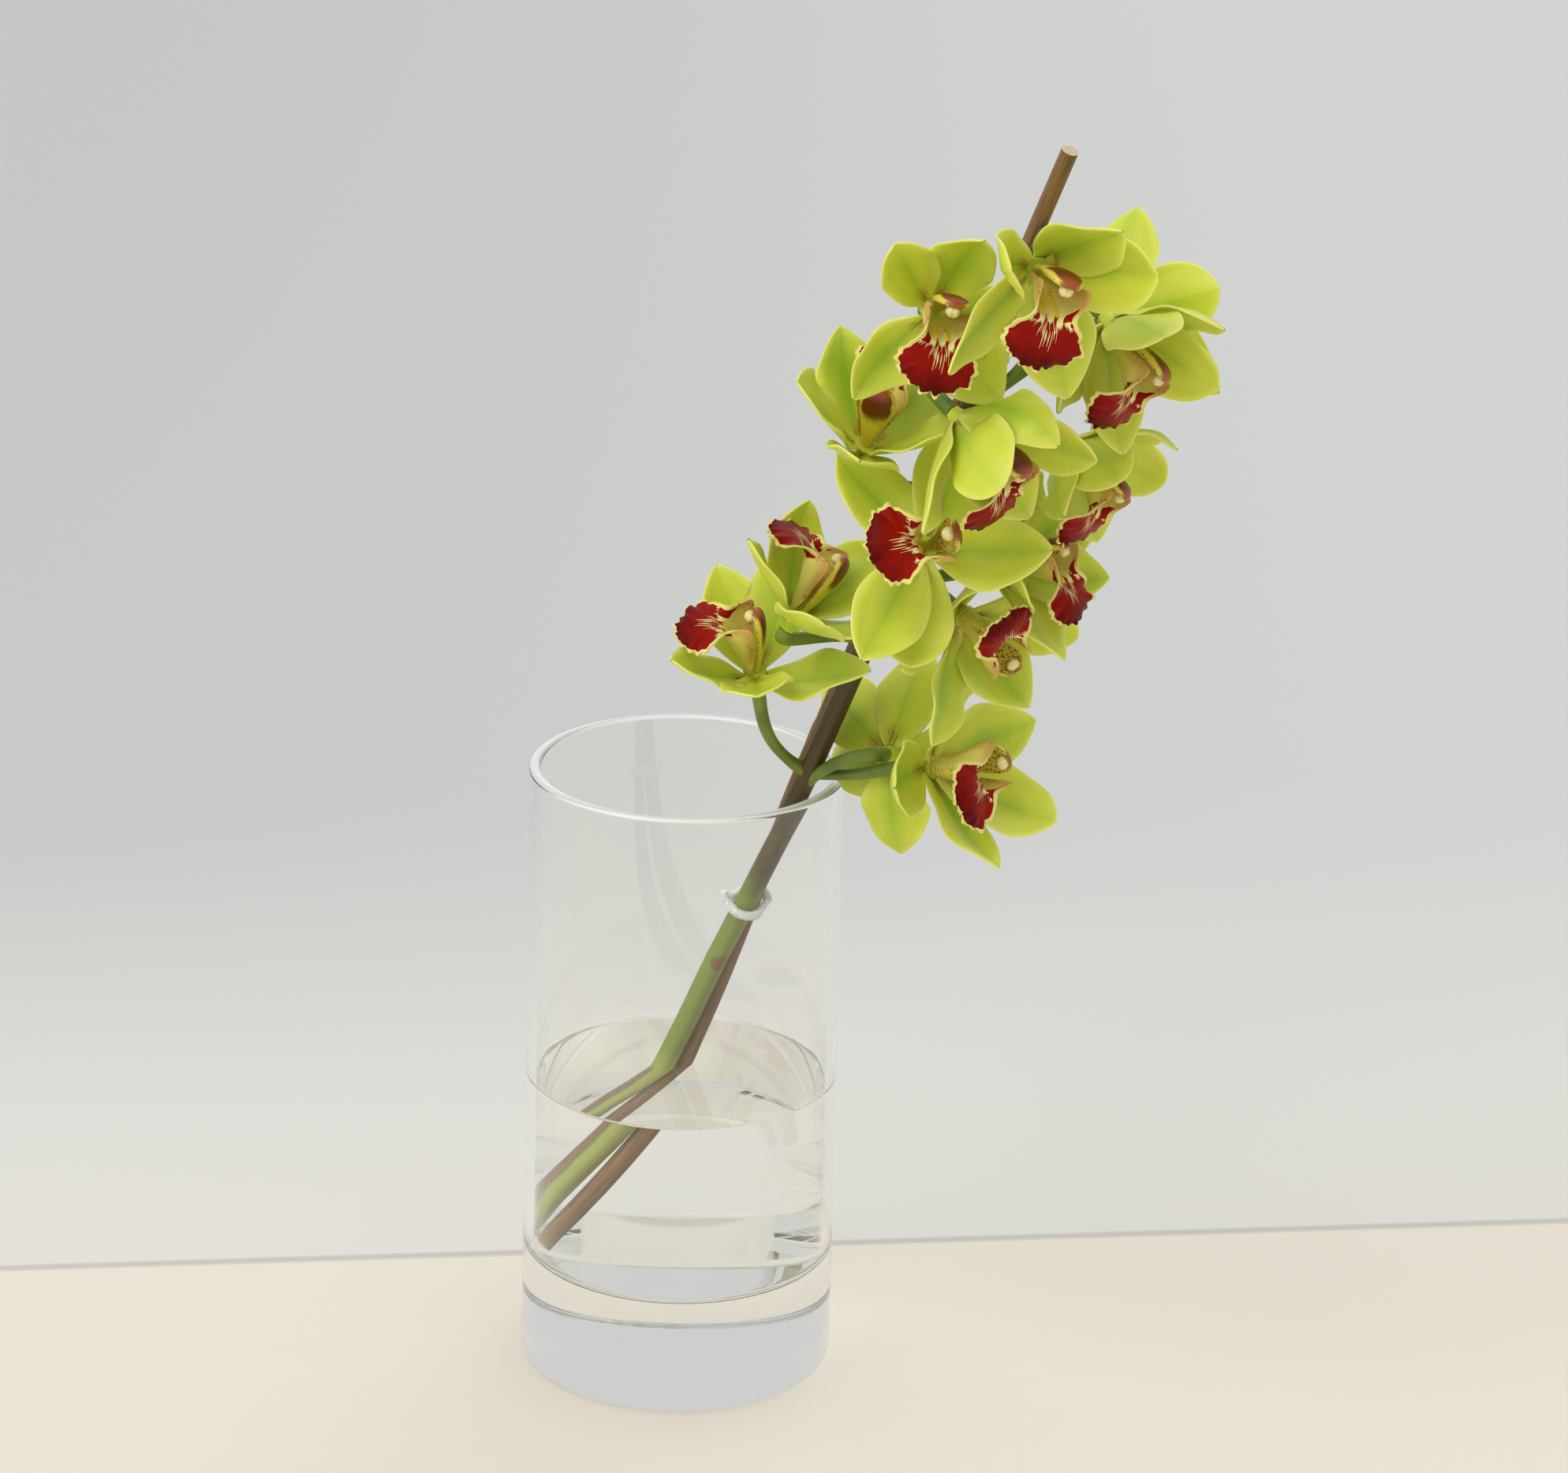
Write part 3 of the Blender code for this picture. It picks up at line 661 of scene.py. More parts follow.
def lipMaterial():
    made, wire = newMaterial("lip", lipLook, (0.1, 0.001, (1.0, 0.3, 0.1)), Specular_IOR_Level=0.06)
    uv, across, along = ownMap(wire)
    spot = objectPlace(wire)
    rim = attribute(wire, "rim")
    off = abs(across)
    fine = spot.speckle(420, 3)
    coarse = spot.speckle(150, 2)
    rays = uv.stretched((46, 5, 1)).speckle(1.0, 3, 0.6)
    throat = along.faded(0.1, 0.5) * off.faded(0.2, 0.8)
    keel = abs(off - 0.2).faded(0.05, 0.12) * along.eased(0.12, 0.2)
    keel = keel * along.faded(0.41, 0.47)
    dots = spot.cells(620).faded(0.18, 0.34) * coarse.eased(0.46, 0.56)
    deepDots = dots * throat * along.faded(0.2, 0.42)
    wing = off.eased(0.25, 0.6) * along.faded(0.36, 0.46)
    nearRim = rim.faded(0.8, 4.5) * along.faded(0.39, 0.45) * along.eased(0.1, 0.2)
    colour = throat.mixed("cream", "throat").layered(
        (rim.faded(0.8, 3.2) * 0.9, "edge"), (keel, "keel"), (wing * 0.8, "wing"),
        (nearRim * 0.5, "pink"), (dots * nearRim, "brown"), (deepDots * 0.8, "brown"),
        (dots * keel * 0.5, "brown"),
    )
    blotch = off.eased(0.42, 0.55) * along.eased(0.36, 0.4) * along.faded(0.47, 0.5)
    blotch = (blotch * (fine * 0.6 + coarse * 0.9)).eased(0.58, 0.68) * rim.eased(0.8, 1.3)
    top = 0.475 + off.faded(0.0, 0.4) * 0.095 + (rays - 0.5) * 0.16
    past = along - top
    red = past.eased(0.0, 0.012)
    threads = uv.stretched((64, 1.6, 1)).speckle(1.0, 1, 0.4)
    streaks = (threads - past * 1.2 - off * 0.35).eased(0.43, 0.46)
    darts = (threads + past * 1.6 + off * 0.2).eased(0.55, 0.52) * (past + 0.12).eased(0.0, 0.03)
    darts = darts.most(off.faded(0.008, 0.02) * (past + 0.05).eased(0.0, 0.01))
    darts = darts * off.faded(0.12, 0.45)
    edgeLine = rim + (fine - 0.5) * 1.2
    red = (red - streaks).most(darts).most(blotch) * edgeLine.eased(1.4, 1.9)
    depth = (along.eased(0.5, 0.95) * 0.7 + (coarse - 0.5) * 0.6 + (rays - 0.5) * 0.8).eased(0.0, 0.9)
    colour = red.eased(0.3, 0.7).mixed(colour, depth.mixed("red", "darkRed"))
    relief = rays * 0.5 + fine * 0.5
    return feed(made, Base_Color=colour, Roughness=0.45 - red * 0.1, Normal=relief.bumped(0.0005, 0.5))


def lipBackMaterial():
    made, wire = newMaterial(
        "lipBack", lipLook, (0.3, 0.0015, (1.0, 0.7, 0.3)), Roughness=0.5, Specular_IOR_Level=0.35,
    )
    along = ownMap(wire)[2]
    spot = objectPlace(wire)
    rim = attribute(wire, "rim")
    coarse = spot.speckle(150, 2)
    fine = spot.speckle(700, 2)
    blush = along.eased(0.08, 0.35) * along.faded(0.42, 0.52) * 0.3 + coarse * 0.2
    dots = spot.cells(560).faded(0.14, 0.3) * coarse.eased(0.5, 0.62)
    places = along.faded(0.0, 0.12).most(rim.faded(1.5, 5) * along.faded(0.37, 0.44))
    shownRed = along.eased(0.52, 0.62) * rim.eased(1.5, 3.0) * 0.5
    colour = blush.mixed("back", "pink")
    colour = colour.layered((dots * places * 0.8, "brown"), (shownRed, "pink"))
    return feed(made, Base_Color=colour, Normal=fine.bumped(0.0003, 0.4))


def buildLip(number, bloom, inner, outer):
    draw = random.Random(200 + int(number))
    piece = lipSheet(bloom, draw)
    piece.name = piece.data.name = f"bloom{number}Lip"
    piece.data.transform(bloomPlace(bloom))
    for finish in (inner, outer):
        piece.data.materials.append(finish)
    smoothShade(piece)
    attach(piece, "root")
    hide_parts("bloom_" + number + "_lip")


# Column: forward, up, half width and half height of each ring, and the pollen cap under its hood

columnShape = {
    "rings": (
        (0.4, 0.4, 0.05, 0.05), (0.5, 0.4, 2.3, 2.2), (5, 1.4, 2.8, 2.2), (10, 2.6, 3.6, 2.3),
        (16, 3.6, 5.2, 2.7), (22, 4.4, 6.8, 3.1), (27, 4.8, 7.4, 3.3), (31, 4.7, 6.8, 3.2),
        (33.8, 4.2, 5.2, 2.6), (35.4, 3.6, 2.8, 1.7), (35.9, 3.2, 0.05, 0.05),
    ),
    "sides": 36,
    "along": 60,
    "hollow": 0.45,
    "capPlace": (0, 1.6, 33.0),
    "capRadii": (3.0, 2.7, 2.3),
}


def columnSheet(bloom):
    shape = columnShape
    rings = shape["rings"]

    def place(u, s):
        z, y, halfWidth, halfHeight = smoothRow(rings, s * (len(rings) - 1))
        turn = pi * (u + 1)
        x = sin(turn) * max(halfWidth, 0)
        rise = cos(turn) * max(halfHeight, 0)
        if rise < 0:
            share = abs(sin(turn))
            rise = rise * 0.5 + halfHeight * shape["hollow"] * (1 - share ** 2) * eased(s, 0.15, 0.5)
            rise -= halfHeight * 0.5 * share ** 3 * eased(s, 0.2, 0.6) * abs(cos(turn)) ** 0.5
        return Vector((x, y + rise, z)) * mm * bloom["size"]

    piece = shapedGrid(shape["sides"], shape["along"], place)
    closeSeams(piece)
    return piece


def pollenCap(bloom, material):
    shape = columnShape
    clearSelection()
    bpy.ops.mesh.primitive_uv_sphere_add(segments=20, ring_count=14, radius=1)
    piece = bpy.context.object
    for point in piece.data.vertices:
        groove = 1 - 0.16 * bump(point.co.x, 0, 0.18) * (1 if point.co.z > 0 else 0)
        point.co = Vector(a * b * groove for a, b in zip(point.co, shape["capRadii"]))
        point.co = (point.co + Vector(shape["capPlace"])) * mm * bloom["size"]
    piece.data.materials.append(material)
    return piece


columnLook = {
    "yellow": (232, 210, 76),
    "brown": (164, 82, 34),
    "deepBrown": (108, 38, 10),
    "olive": (222, 206, 92),
    "dots": (98, 54, 12),
    "cap": (244, 234, 174),
    "capShade": (224, 206, 120),
}


def columnMaterial():
    made, wire = newMaterial(
        "column", columnLook, (0.15, 0.001), Roughness=0.35, Specular_IOR_Level=0.45,
    )
    across, along = ownMap(wire)[1:]
    spot = objectPlace(wire)
    coarse = spot.speckle(160, 2)
    off = abs(across)
    # the seam is on the top side, so the top is where across is near -1 or 1
    top = off.eased(0.42, 0.56)
    patch = (along + (coarse - 0.5) * 0.16).eased(0.4, 0.54)
    patch = patch * (off + (coarse - 0.5) * 0.2).eased(0.6, 0.72)
    patch = patch.most(along.eased(0.8, 0.88) * 0.9)
    back = patch.mixed("yellow", along.eased(0.68, 0.88).mixed("deepBrown", "brown"))
    dots = spot.cells(700).faded(0.3, 0.42) * along.eased(0.12, 0.3)
    under = (dots * 0.85).mixed("olive", "dots")
    under = along.eased(0.86, 0.93).mixed(under, "deepBrown")
    return feed(made, Base_Color=top.mixed(under, back), Normal=coarse.bumped(0.0003, 0.4))


def capMaterial():
    made, wire = newMaterial("pollenCap", columnLook, (0.3, 0.001), Roughness=0.4)
    tone = objectPlace(wire).speckle(600, 2)
    return feed(made, Base_Color=tone.eased(0.3, 0.8).mixed("cap", "capShade"))


def buildColumn(number, bloom, material, cap):
    shaft = columnSheet(bloom)
    shaft.data.materials.append(material)
    piece = joined([shaft, pollenCap(bloom, cap)], f"bloom{number}Column")
    piece.data.transform(bloomPlace(bloom))
    smoothShade(piece)
    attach(piece, "root")
    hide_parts("bloom_" + number + "_column")


# Cane and flower stem

caneShape = {
    "route": (
        (58, -51.7, -6.4), (75, -38, -1), (95, -24.5, 4.5), (120, -10.5, 8.5), (145, 1.2, 10.2),
        (175, 13, 9), (205, 23, 4), (240, 33.3, -5.7), (300, 49.9, -26.5), (400, 81.6, -61.1),
        (510, 116.5, -99.2), (625, 153, -139),
    ),
    "radius": 3.75 * mm,
    "nodes": (150, 330, 500),
    "nodeSwell": 0.6 * mm,
    "sides": 28,
    "rings": 120,
}


def rowAt(rows, height):
    # the place of a height among rows that start with theirs, counted in rows
    for i in range(len(rows) - 2):
        if height < rows[i + 1][0]:
            break
    else:
        i = len(rows) - 2
    low, high = rows[i][0], rows[i + 1][0]
    t = (height - low) / (high - low)
    for again in range(6):
        reached = smoothRow(rows, i + t)[0]
        t = min(max(t + (height - reached) / (high - low), 0), 0.9999)
    return i + t


def canePoint(height):
    rows = caneShape["route"]
    x, y = smoothRow(rows, rowAt(rows, height / mm))[1:]
    return Vector((x * mm, y * mm, height))


def caneAlong(height):
    low, high = caneShape["route"][0][0] * mm, caneShape["route"][-1][0] * mm
    step = 3 * mm
    return (canePoint(min(height + step, high)) - canePoint(max(height - step, low))).normalized()


caneLook = {
    "pale": (162, 122, 74),
    "dark": (104, 76, 42),
    "blotch": (138, 102, 64),
    "ring": (176, 152, 112),
    "pores": (150, 120, 84),
    "pith": (222, 204, 168),
}


def caneMaterial():
    made, wire = newMaterial("cane", caneLook, Specular_IOR_Level=0.4)
    streaks = ownMap(wire)[0].stretched((38, 26, 1)).speckle(1.0, 4, 0.6)
    blotch = objectPlace(wire).speckle(60, 3)
    ring = attribute(wire, "ring")
    colour = streaks.eased(0.3, 0.7).mixed("pale", "dark")
    colour = colour.layered((blotch.eased(0.45, 0.7) * 0.5, "blotch"), (ring * 0.7, "ring"))
    normal = (streaks + ring * 0.6).bumped(0.0004, 0.6)
    return feed(made, Base_Color=colour, Roughness=0.42 + streaks * 0.25, Normal=normal)


def pithMaterial():
    made, wire = newMaterial("canePith", caneLook, Roughness=0.8)
    pores = objectPlace(wire).cells(1400)
    return feed(made, Base_Color=pores.eased(0.1, 0.5).mixed("pores", "pith"))


def buildCane():
    shape = caneShape
    foot, top = shape["route"][0][0], shape["route"][-1][0]
    route = []
    for k in range(shape["rings"] + 1):
        height = foot + (top - foot) * k / shape["rings"]
        swell = sum(bump(height, node, 2.6) for node in shape["nodes"])
        pinch = sum(bump(height, node + 5, 2.0) for node in shape["nodes"]) * 0.25
        route.append((canePoint(height * mm), shape["radius"] + shape["nodeSwell"] * (swell - pinch)))
    route.append((canePoint(top * mm), shape["radius"] * 0.86))
    piece = roundTube(withEnds(route), shape["sides"])
    rings = []
    for point in piece.data.vertices:
        rings.append(max(
            bump((point.co - canePoint(node * mm)).dot(caneAlong(node * mm)) / mm, 0, 1.6)
            for node in shape["nodes"]
        ))
    keepValues(piece, "ring", rings)
    piece.name = piece.data.name = "cane"
    for finish in (caneMaterial(), pithMaterial()):
        piece.data.materials.append(finish)
    for face in piece.data.polygons:
        along = caneAlong(foot * mm if face.center.z < 0.1 else top * mm)
        if abs(face.normal.dot(along)) > 0.9:
            face.material_index = 1
    smoothShade(piece, 40)
    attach(piece, "root")
    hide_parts("cane")


# The stem's route: height, distance of its middle from the cane's, and radius, in millimetres

stemShape = {
    "route": (
        (61, -5.3, 13.6, 5.2), (80, -9.5, 9, 5.2), (100, -11, 3.9, 5.2), (120, -10.8, -0.8, 5.2),
        (145, -10.4, -5.2, 5.1), (170, -9.5, -6.8, 5.1), (200, -8.2, -8, 5.1),
        (230, -5.5, -9.5, 5.1), (260, -2.4, -10, 5.0), (300, 1.2, -9.7, 4.8),
        (340, 1.8, -10.2, 4.9), (420, 2.3, -9.6, 4.6),
        (500, 2.5, -9.2, 4.0), (560, 2.5, -8.2, 3.4), (590, 2.5, -7.5, 2.8),
    ),
    "sides": 32,
    "steps": 9,
    "pedicelRadius": 2.4 * mm,
    "pedicelSides": 20,
    "pedicelSteps": 26,
    "pedicelFoot": 0.8 * mm,
    "pedicelLeaving": 0.4,
    "pedicelStraight": 3 * mm,
    "gap": 0.3 * mm,
    "scarPlace": (0.0172, -0.0092, 0.2045),
}


def stemRow(place):
    height, x, y, radius = smoothRow(stemShape["route"], place)
    return canePoint(height * mm) + Vector((x, y, 0)) * mm, radius * mm


def stemPoint(height):
    return stemRow(rowAt(stemShape["route"], height))


stemLook = {
    "wetGreen": (182, 192, 96),
    "green": (136, 152, 58),
    "wetBrown": (150, 124, 96),
    "brown": (84, 54, 24),
    "darkBrown": (50, 29, 14),
    "ridge": (146, 100, 58),
    "fleck": (120, 104, 60),
    "scar": (140, 104, 66),
    "stalk": (126, 146, 46),
    "darkStalk": (92, 116, 28),
    "line": (80, 92, 32),
}


def stemMaterial():
    made, wire = newMaterial("stem", stemLook, (0.1, 0.001), Specular_IOR_Level=0.45)
    uv, across, along = ownMap(wire)
    spot = objectPlace(wire)
    height = spot.part(2)
    blotch = spot.speckle(38, 4)
    fine = spot.speckle(520, 3)
    lines = uv.stretched((60, 3, 1)).speckle(1.0, 3, 0.6)
    # under water the side that faces up and to the left is brown
    outward = wire.node("ShaderNodeNewGeometry", None, None, 1)
    upper = outward.vectorMaths("DOT_PRODUCT", (-0.7, -0.3, 0.65), 1)
    wet = height.faded(0.142, 0.149)
    wetSide = (upper + (blotch - 0.5) * 0.2).eased(0.76, 0.84) * wet
    main = wetSide.mixed(height.eased(0.14, 0.16).mixed("wetGreen", "green"), "wetBrown")
    # higher up it is dark brown all round
    high = (height + (blotch - 0.5) * 0.12).eased(0.21, 0.29)
    dark = lines.eased(0.3, 0.7).mixed("brown", "darkBrown")
    ridge = abs(across + 0.38).faded(0.01, 0.035) * high
    toScar = spot.vectorMaths("DISTANCE", stemShape["scarPlace"], 1)
    scar = (toScar + (fine - 0.5) * 0.003).faded(0.0042, 0.005)
    main = (high * 0.92).mixed(main, dark).layered(
        (ridge * 0.6, "ridge"), (fine.eased(0.5, 0.8) * 0.2, "fleck"), (scar, "scar"),
    )
    branch = blotch.eased(0.35, 0.7).mixed("stalk", "darkStalk")
    colour = attribute(wire, "branch").mixed(main, branch)
    colour = (lines.eased(0.4, 0.8) * 0.14).mixed(colour, "line")
    normal = (lines + fine * 0.4).bumped(0.0003, 0.5)
    return feed(made, Base_Color=colour, Roughness=0.3 + fine * 0.2, Normal=normal)


def bezierPoint(a, b, c, d, t):
    u = 1 - t
    return a * u ** 3 + b * 3 * u * u * t + c * 3 * u * t * t + d * t ** 3


def pedicel(bloom):
    shape = stemShape
    place = bloomPlace(bloom)
    facing = place.to_3x3() @ Vector((0, 0, 1))
    end = place @ Vector((0, 0, -receptacleShape["depth"] - shape["gap"]))
    root = stemPoint(bloom["joint"])[0]
    straight = end - facing * shape["pedicelStraight"]
    leave = Vector(bloom["leave"]).normalized()
    first = root + leave * (end - root).length * shape["pedicelLeaving"]
    second = end - facing * bloom["rise"] * mm
    thin, thick = shape["pedicelRadius"], receptacleShape["ovaryRadius"]
    route = []
    for k in range(shape["pedicelSteps"] + 1):
        t = k / shape["pedicelSteps"]
        radius = thin + (thick - thin) * t + shape["pedicelFoot"] * (1 - eased(t, 0.02, 0.22))
        route.append((bezierPoint(root, first, second, straight, t), radius))
    route.append((end, thick))

    def ribs(turn, share):
        return 1 + 0.07 * cos(3 * turn + share * 2.5) * eased(share, 0.25, 0.6)

    return roundTube(withEnds(route), shape["pedicelSides"], ribs)


def buildStem():
    shape = stemShape
    last = len(shape["route"]) - 1
    count = last * shape["steps"]
    route = [(stemRow(0)[0], 0.0)]
    route += [stemRow(last * k / count) for k in range(count + 1)]
    tip = stemRow(last)
    ahead = (tip[0] - stemRow(last - 0.1)[0]).normalized()
    route.append((tip[0] + ahead * 1.2 * mm, tip[1] * 0.7))
    route.append((tip[0] + ahead * 1.8 * mm, 0.0))

    def flats(turn, share):
        return 1 + 0.035 * cos(5 * turn) + 0.02 * cos(2 * turn)

    stem = roundTube(route, shape["sides"], flats)
    keepValues(stem, "branch", 0.0)
    branches = []
    for bloom in blooms.values():
        branch = pedicel(bloom)
        keepValues(branch, "branch", 1.0)
        branches.append(branch)
    piece = joined([stem] + branches, "flowerStem")
    piece.data.materials.append(stemMaterial())
    smoothShade(piece, 50)
    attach(piece, "root")
    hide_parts("flower_stem")


# Ties of fuzzy wire

tieShape = {
    "radius": 1.8 * mm,
    "clearance": 0.65 * mm,
    "tail": 4.0 * mm,
    "tailRise": 2 * mm,
    "fuzz": 5000,
    "fuzzLength": 1.6 * mm,
    "fuzzWidth": 0.18 * mm,
    "ties": {
        "tieLower": ("tie_lower", 238, (-0.55, -0.2, 0.8)),
        "tieUpper": ("tie_upper", 534, (0.9, 0.4, 0.2)),
    },
}


def tieLoop(height, count):
    along = caneAlong(height * mm)
    clearance = tieShape["radius"] + tieShape["clearance"]
    cane = canePoint(height * mm)
    stem, stemRadius = stemPoint(height)
    stem = stem - along * (stem - cane).dot(along)
    across = (stem - cane).normalized()
    aside = along.cross(across)
    between = (stem - cane).length
    points = []
    for k in range(count):
        turn = 2 * pi * k / count
        ray = across * cos(turn) + aside * sin(turn)
        reachCane = caneShape["radius"] + clearance
        reachStem = between * cos(turn) + stemRadius + clearance
        if reachStem > reachCane:
            points.append(stem + ray * (stemRadius + clearance))
        else:
            points.append(cane + ray * reachCane)
    return points


tieLook = {"bright": (254, 254, 252), "shade": (240, 240, 238)}


def tieMaterial():
    made, wire = newMaterial("tieFuzz", tieLook, (0.2, 0.001), Roughness=0.95)
    tone = objectPlace(wire).speckle(700, 2)
    return feed(made, Base_Color=tone.eased(0.3, 0.7).mixed("bright", "shade"))


def fuzz(points, draw):
    shape = tieShape
    reach = shape["fuzzWidth"]
    bm = bmesh.new()
    count = len(points)
    for k in range(shape["fuzz"]):
        place = draw.uniform(0, count - 1.001)
        i = int(place)
        core = points[i].lerp(points[i + 1], place - i)
        aim = Vector(draw.gauss(0, 1) for axis in range(3)).normalized()
        tangent = (points[i + 1] - points[i]).normalized()
        aim = (aim - tangent * aim.dot(tangent) * 0.7).normalized()
        side = aim.orthogonal().normalized()
        other = aim.cross(side)
        start = core + aim * shape["radius"] * 0.5
        length = shape["fuzzLength"] * draw.uniform(0.5, 1.1)
        lean = side * draw.uniform(-0.5, 0.5) + other * draw.uniform(-0.5, 0.5)
        rings = []
        for share, width in ((0, 1), (0.6, 0.8)):
            middle = start + (aim + lean * share ** 2) * length * share
            rings.append([
                bm.verts.new(middle + (side * cos(turn) + other * sin(turn)) * reach * width)
                for turn in (0, 2.094, 4.189)
            ])
        end = bm.verts.new(start + (aim + lean) * length)
        low, high = rings
        bm.faces.new(low[::-1])
        for j in range(3):
            n = (j + 1) % 3
            bm.faces.new((low[j], low[n], high[n], high[j]))
            bm.faces.new((high[j], high[n], end))
    mesh = bpy.data.meshes.new("fuzz")
    bm.to_mesh(mesh)
    bm.free()
    piece = bpy.data.objects.new("fuzz", mesh)
    bpy.context.scene.collection.objects.link(piece)
    return piece


def buildTies():
    shape = tieShape
    material = tieMaterial()
    for index, (name, (node, height, tail)) in enumerate(shape["ties"].items()):
        draw = random.Random(300 + index)
        loop = tieLoop(height, 64)
        tail = Vector(tail).normalized()
        start = max(loop, key=lambda point: point.dot(tail))
        tailEnd = start + tail * shape["tail"] + Vector((0, 0, shape["tailRise"]))
        tailRoute = [start, start + tail * 0.6 * shape["tail"], tailEnd]
        loopRoute = [(point, shape["radius"] * draw.uniform(0.85, 1.05)) for point in loop + loop[:1]]
        core = roundTube(loopRoute, 12)
        tailPoints = [Vector(smoothRow(tailRoute, 2 * k / 8)) for k in range(9)]
        tailTube = roundTube(withEnds([(point, shape["radius"]) for point in tailPoints]), 12)
        fibres = fuzz(loop + loop[:1] + tailPoints, draw)
        piece = joined([core, tailTube, fibres], name)
        piece.data.materials.append(material)
        smoothShade(piece)
        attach(piece, "root")
        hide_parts(node)


# Vase and water

vaseShape = {
    "height": 300 * mm,
    "footRadius": 75 * mm,
    "rimRadius": 73.7 * mm,
    "wall": 5.4 * mm,
    "floor": 55 * mm,
    "cove": 6 * mm,
    "rimRound": 2.2 * mm,
    # painted highlight on the rim: how much white diffuse is mixed into the glass, and how deep a band
    # at the top it covers
    "rimHighlight": 0.7,
    "highlightBand": 1.6 * mm,
    "footRound": 4.0 * mm,
    "sides": 192,
    "waterLevel": 145 * mm,
    "overlap": 0.15 * mm,
    "climb": 1.6 * mm,
    "meniscus": ((0.5, 0.9), (0.8, 0.6), (1.3, 0.35), (2.2, 0.15)),
}


def clearMaterial(name, colour, ior, highlightFrom=None):
    made, wire = newMaterial(
        name, Base_Color=colour, Roughness=0.0, Transmission_Weight=1.0, IOR=ior,
    )
    nodes = made.node_tree.nodes
    shadow = wire.node("ShaderNodeLightPath", None, None, 1)
    clear = wire.node("ShaderNodeBsdfTransparent", None, {"Color": (0.94, 0.95, 0.95, 1)})
    solid = Wire(wire.tree, {}, nodes["Principled BSDF"].outputs[0])
    # painted highlight: the top of the rim is mixed with white diffuse so that it shows a bright band
    if highlightFrom:
        height = objectPlace(wire).part(2)
        bright = height.eased(highlightFrom, highlightFrom + 0.0006) * vaseShape["rimHighlight"]
        highlightWhite = wire.node("ShaderNodeBsdfDiffuse", None, {"Color": (0.93, 0.94, 0.94, 1)})
        solid = wire.node("ShaderNodeMixShader", None, {0: bright, 1: solid, 2: highlightWhite})
    both = wire.node("ShaderNodeMixShader", None, {0: shadow, 1: solid, 2: clear})
    wire.tree.links.new(both.socket, nodes["Material Output"].inputs["Surface"])
    return made


def uprightCylinder(name, radius, low, high):
    clearSelection()
    bpy.ops.mesh.primitive_cylinder_add(
        vertices=vaseShape["sides"], radius=radius, depth=high - low,
        location=(0, 0, (high + low) / 2),
    )
    piece = named(name)
    bpy.ops.object.transform_apply(location=True)
    return piece


def roundEdge(piece, height, radius, width, segments):
    # rounds the edge that runs round at this height and radius
    def isLevel(edge):
        ends = (piece.data.vertices[i].co for i in edge.vertices)
        return all(
            abs(point.z - height) < 0.2 * mm and abs(hypot(point.x, point.y) - radius) < 0.3 * mm
            for point in ends
        )

    choose(piece, "EDGE", isLevel)
    bpy.ops.mesh.bevel(offset=width, segments=segments, affect="EDGES")
    objectMode()


def buildVase():
    shape = vaseShape
    piece = uprightCylinder("glassVase", shape["footRadius"], 0, shape["height"])
    choose(piece, "FACE", lambda face: face.normal.z > 0.9)
    taper = shape["rimRadius"] / shape["footRadius"]
    bpy.ops.transform.resize(value=(taper, taper, 1))
    bpy.ops.mesh.inset(thickness=shape["wall"])
    drop = shape["height"] - shape["floor"]
    bpy.ops.mesh.extrude_region_move(TRANSFORM_OT_translate={"value": (0, 0, -drop)})
    innerRim = shape["rimRadius"] - shape["wall"]
    innerFoot = shape["footRadius"] - shape["wall"]
    bpy.ops.transform.resize(value=(innerFoot / innerRim, innerFoot / innerRim, 1))
    objectMode()
    rounds = (
        (shape["height"], shape["rimRadius"], shape["rimRound"], 5),
        (shape["height"], innerRim, shape["rimRound"], 5),
        (0, shape["footRadius"], shape["footRound"], 4),
        (shape["floor"], innerFoot, shape["cove"], 7),
    )
    for place in rounds:
        roundEdge(piece, *place)
    # the band at the top of the rim that gets the painted highlight
    highlightFrom = shape["height"] - shape["highlightBand"]
    piece.data.materials.append(clearMaterial("clearGlass", (1, 0.998, 0.988, 1), 1.5, highlightFrom))
    smoothShade(piece, 35)
    applyModifier(piece, "WEIGHTED_NORMAL", weight=100, keep_sharp=True)
    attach(piece, "root")
    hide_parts("glass_vase")


def buildWater():
    shape = vaseShape
    low, high = shape["floor"] - shape["overlap"], shape["waterLevel"] + shape["climb"]
    slope = (shape["footRadius"] - shape["rimRadius"]) / shape["height"]
    foot, top = (
        shape["footRadius"] - shape["wall"] - slope * height + shape["overlap"]
        for height in (low, high)
    )
    piece = uprightCylinder("waterBody", foot, low, high)
    choose(piece, "FACE", lambda face: face.normal.z > 0.9)
    bpy.ops.transform.resize(value=(top / foot, top / foot, 1))
    for inset, drop in shape["meniscus"]:
        bpy.ops.mesh.inset(thickness=inset * mm)
        bpy.ops.transform.translate(value=(0, 0, -drop * mm))
    objectMode()
    roundEdge(piece, low, foot, shape["cove"], 7)
    piece.data.materials.append(clearMaterial("clearWater", (0.985, 0.995, 0.99, 1), 1.33))
    smoothShade(piece, 40)
    applyModifier(piece, "WEIGHTED_NORMAL", weight=100, keep_sharp=True)
    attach(piece, "root")
    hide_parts("water")


# Studio: pale floor, grey ground behind it, soft lights and the camera

studio = {
    "edge": 102 * mm,
    "edgeTurn": -6.4,
    "radius": 14,
    "drop": 0.4 * mm,
    "world": (0.97, 0.985, 1.0),
    "worldStrength": 0.62,
    "skySpread": 40,
}


studioLook = {
    "floor": (240, 231, 216),
    # the lighter greys of the ground behind are painted light: lighter just behind the table's edge
    # and towards the right
    "litNearBack": (231, 228, 221),
    "farBack": (202, 203, 201),
    "litRightBack": (216, 217, 215),
    # the grey of the thin line along the table's back edge, painted shade where the table meets the
    # ground behind
    "edge": (150, 150, 148),
}


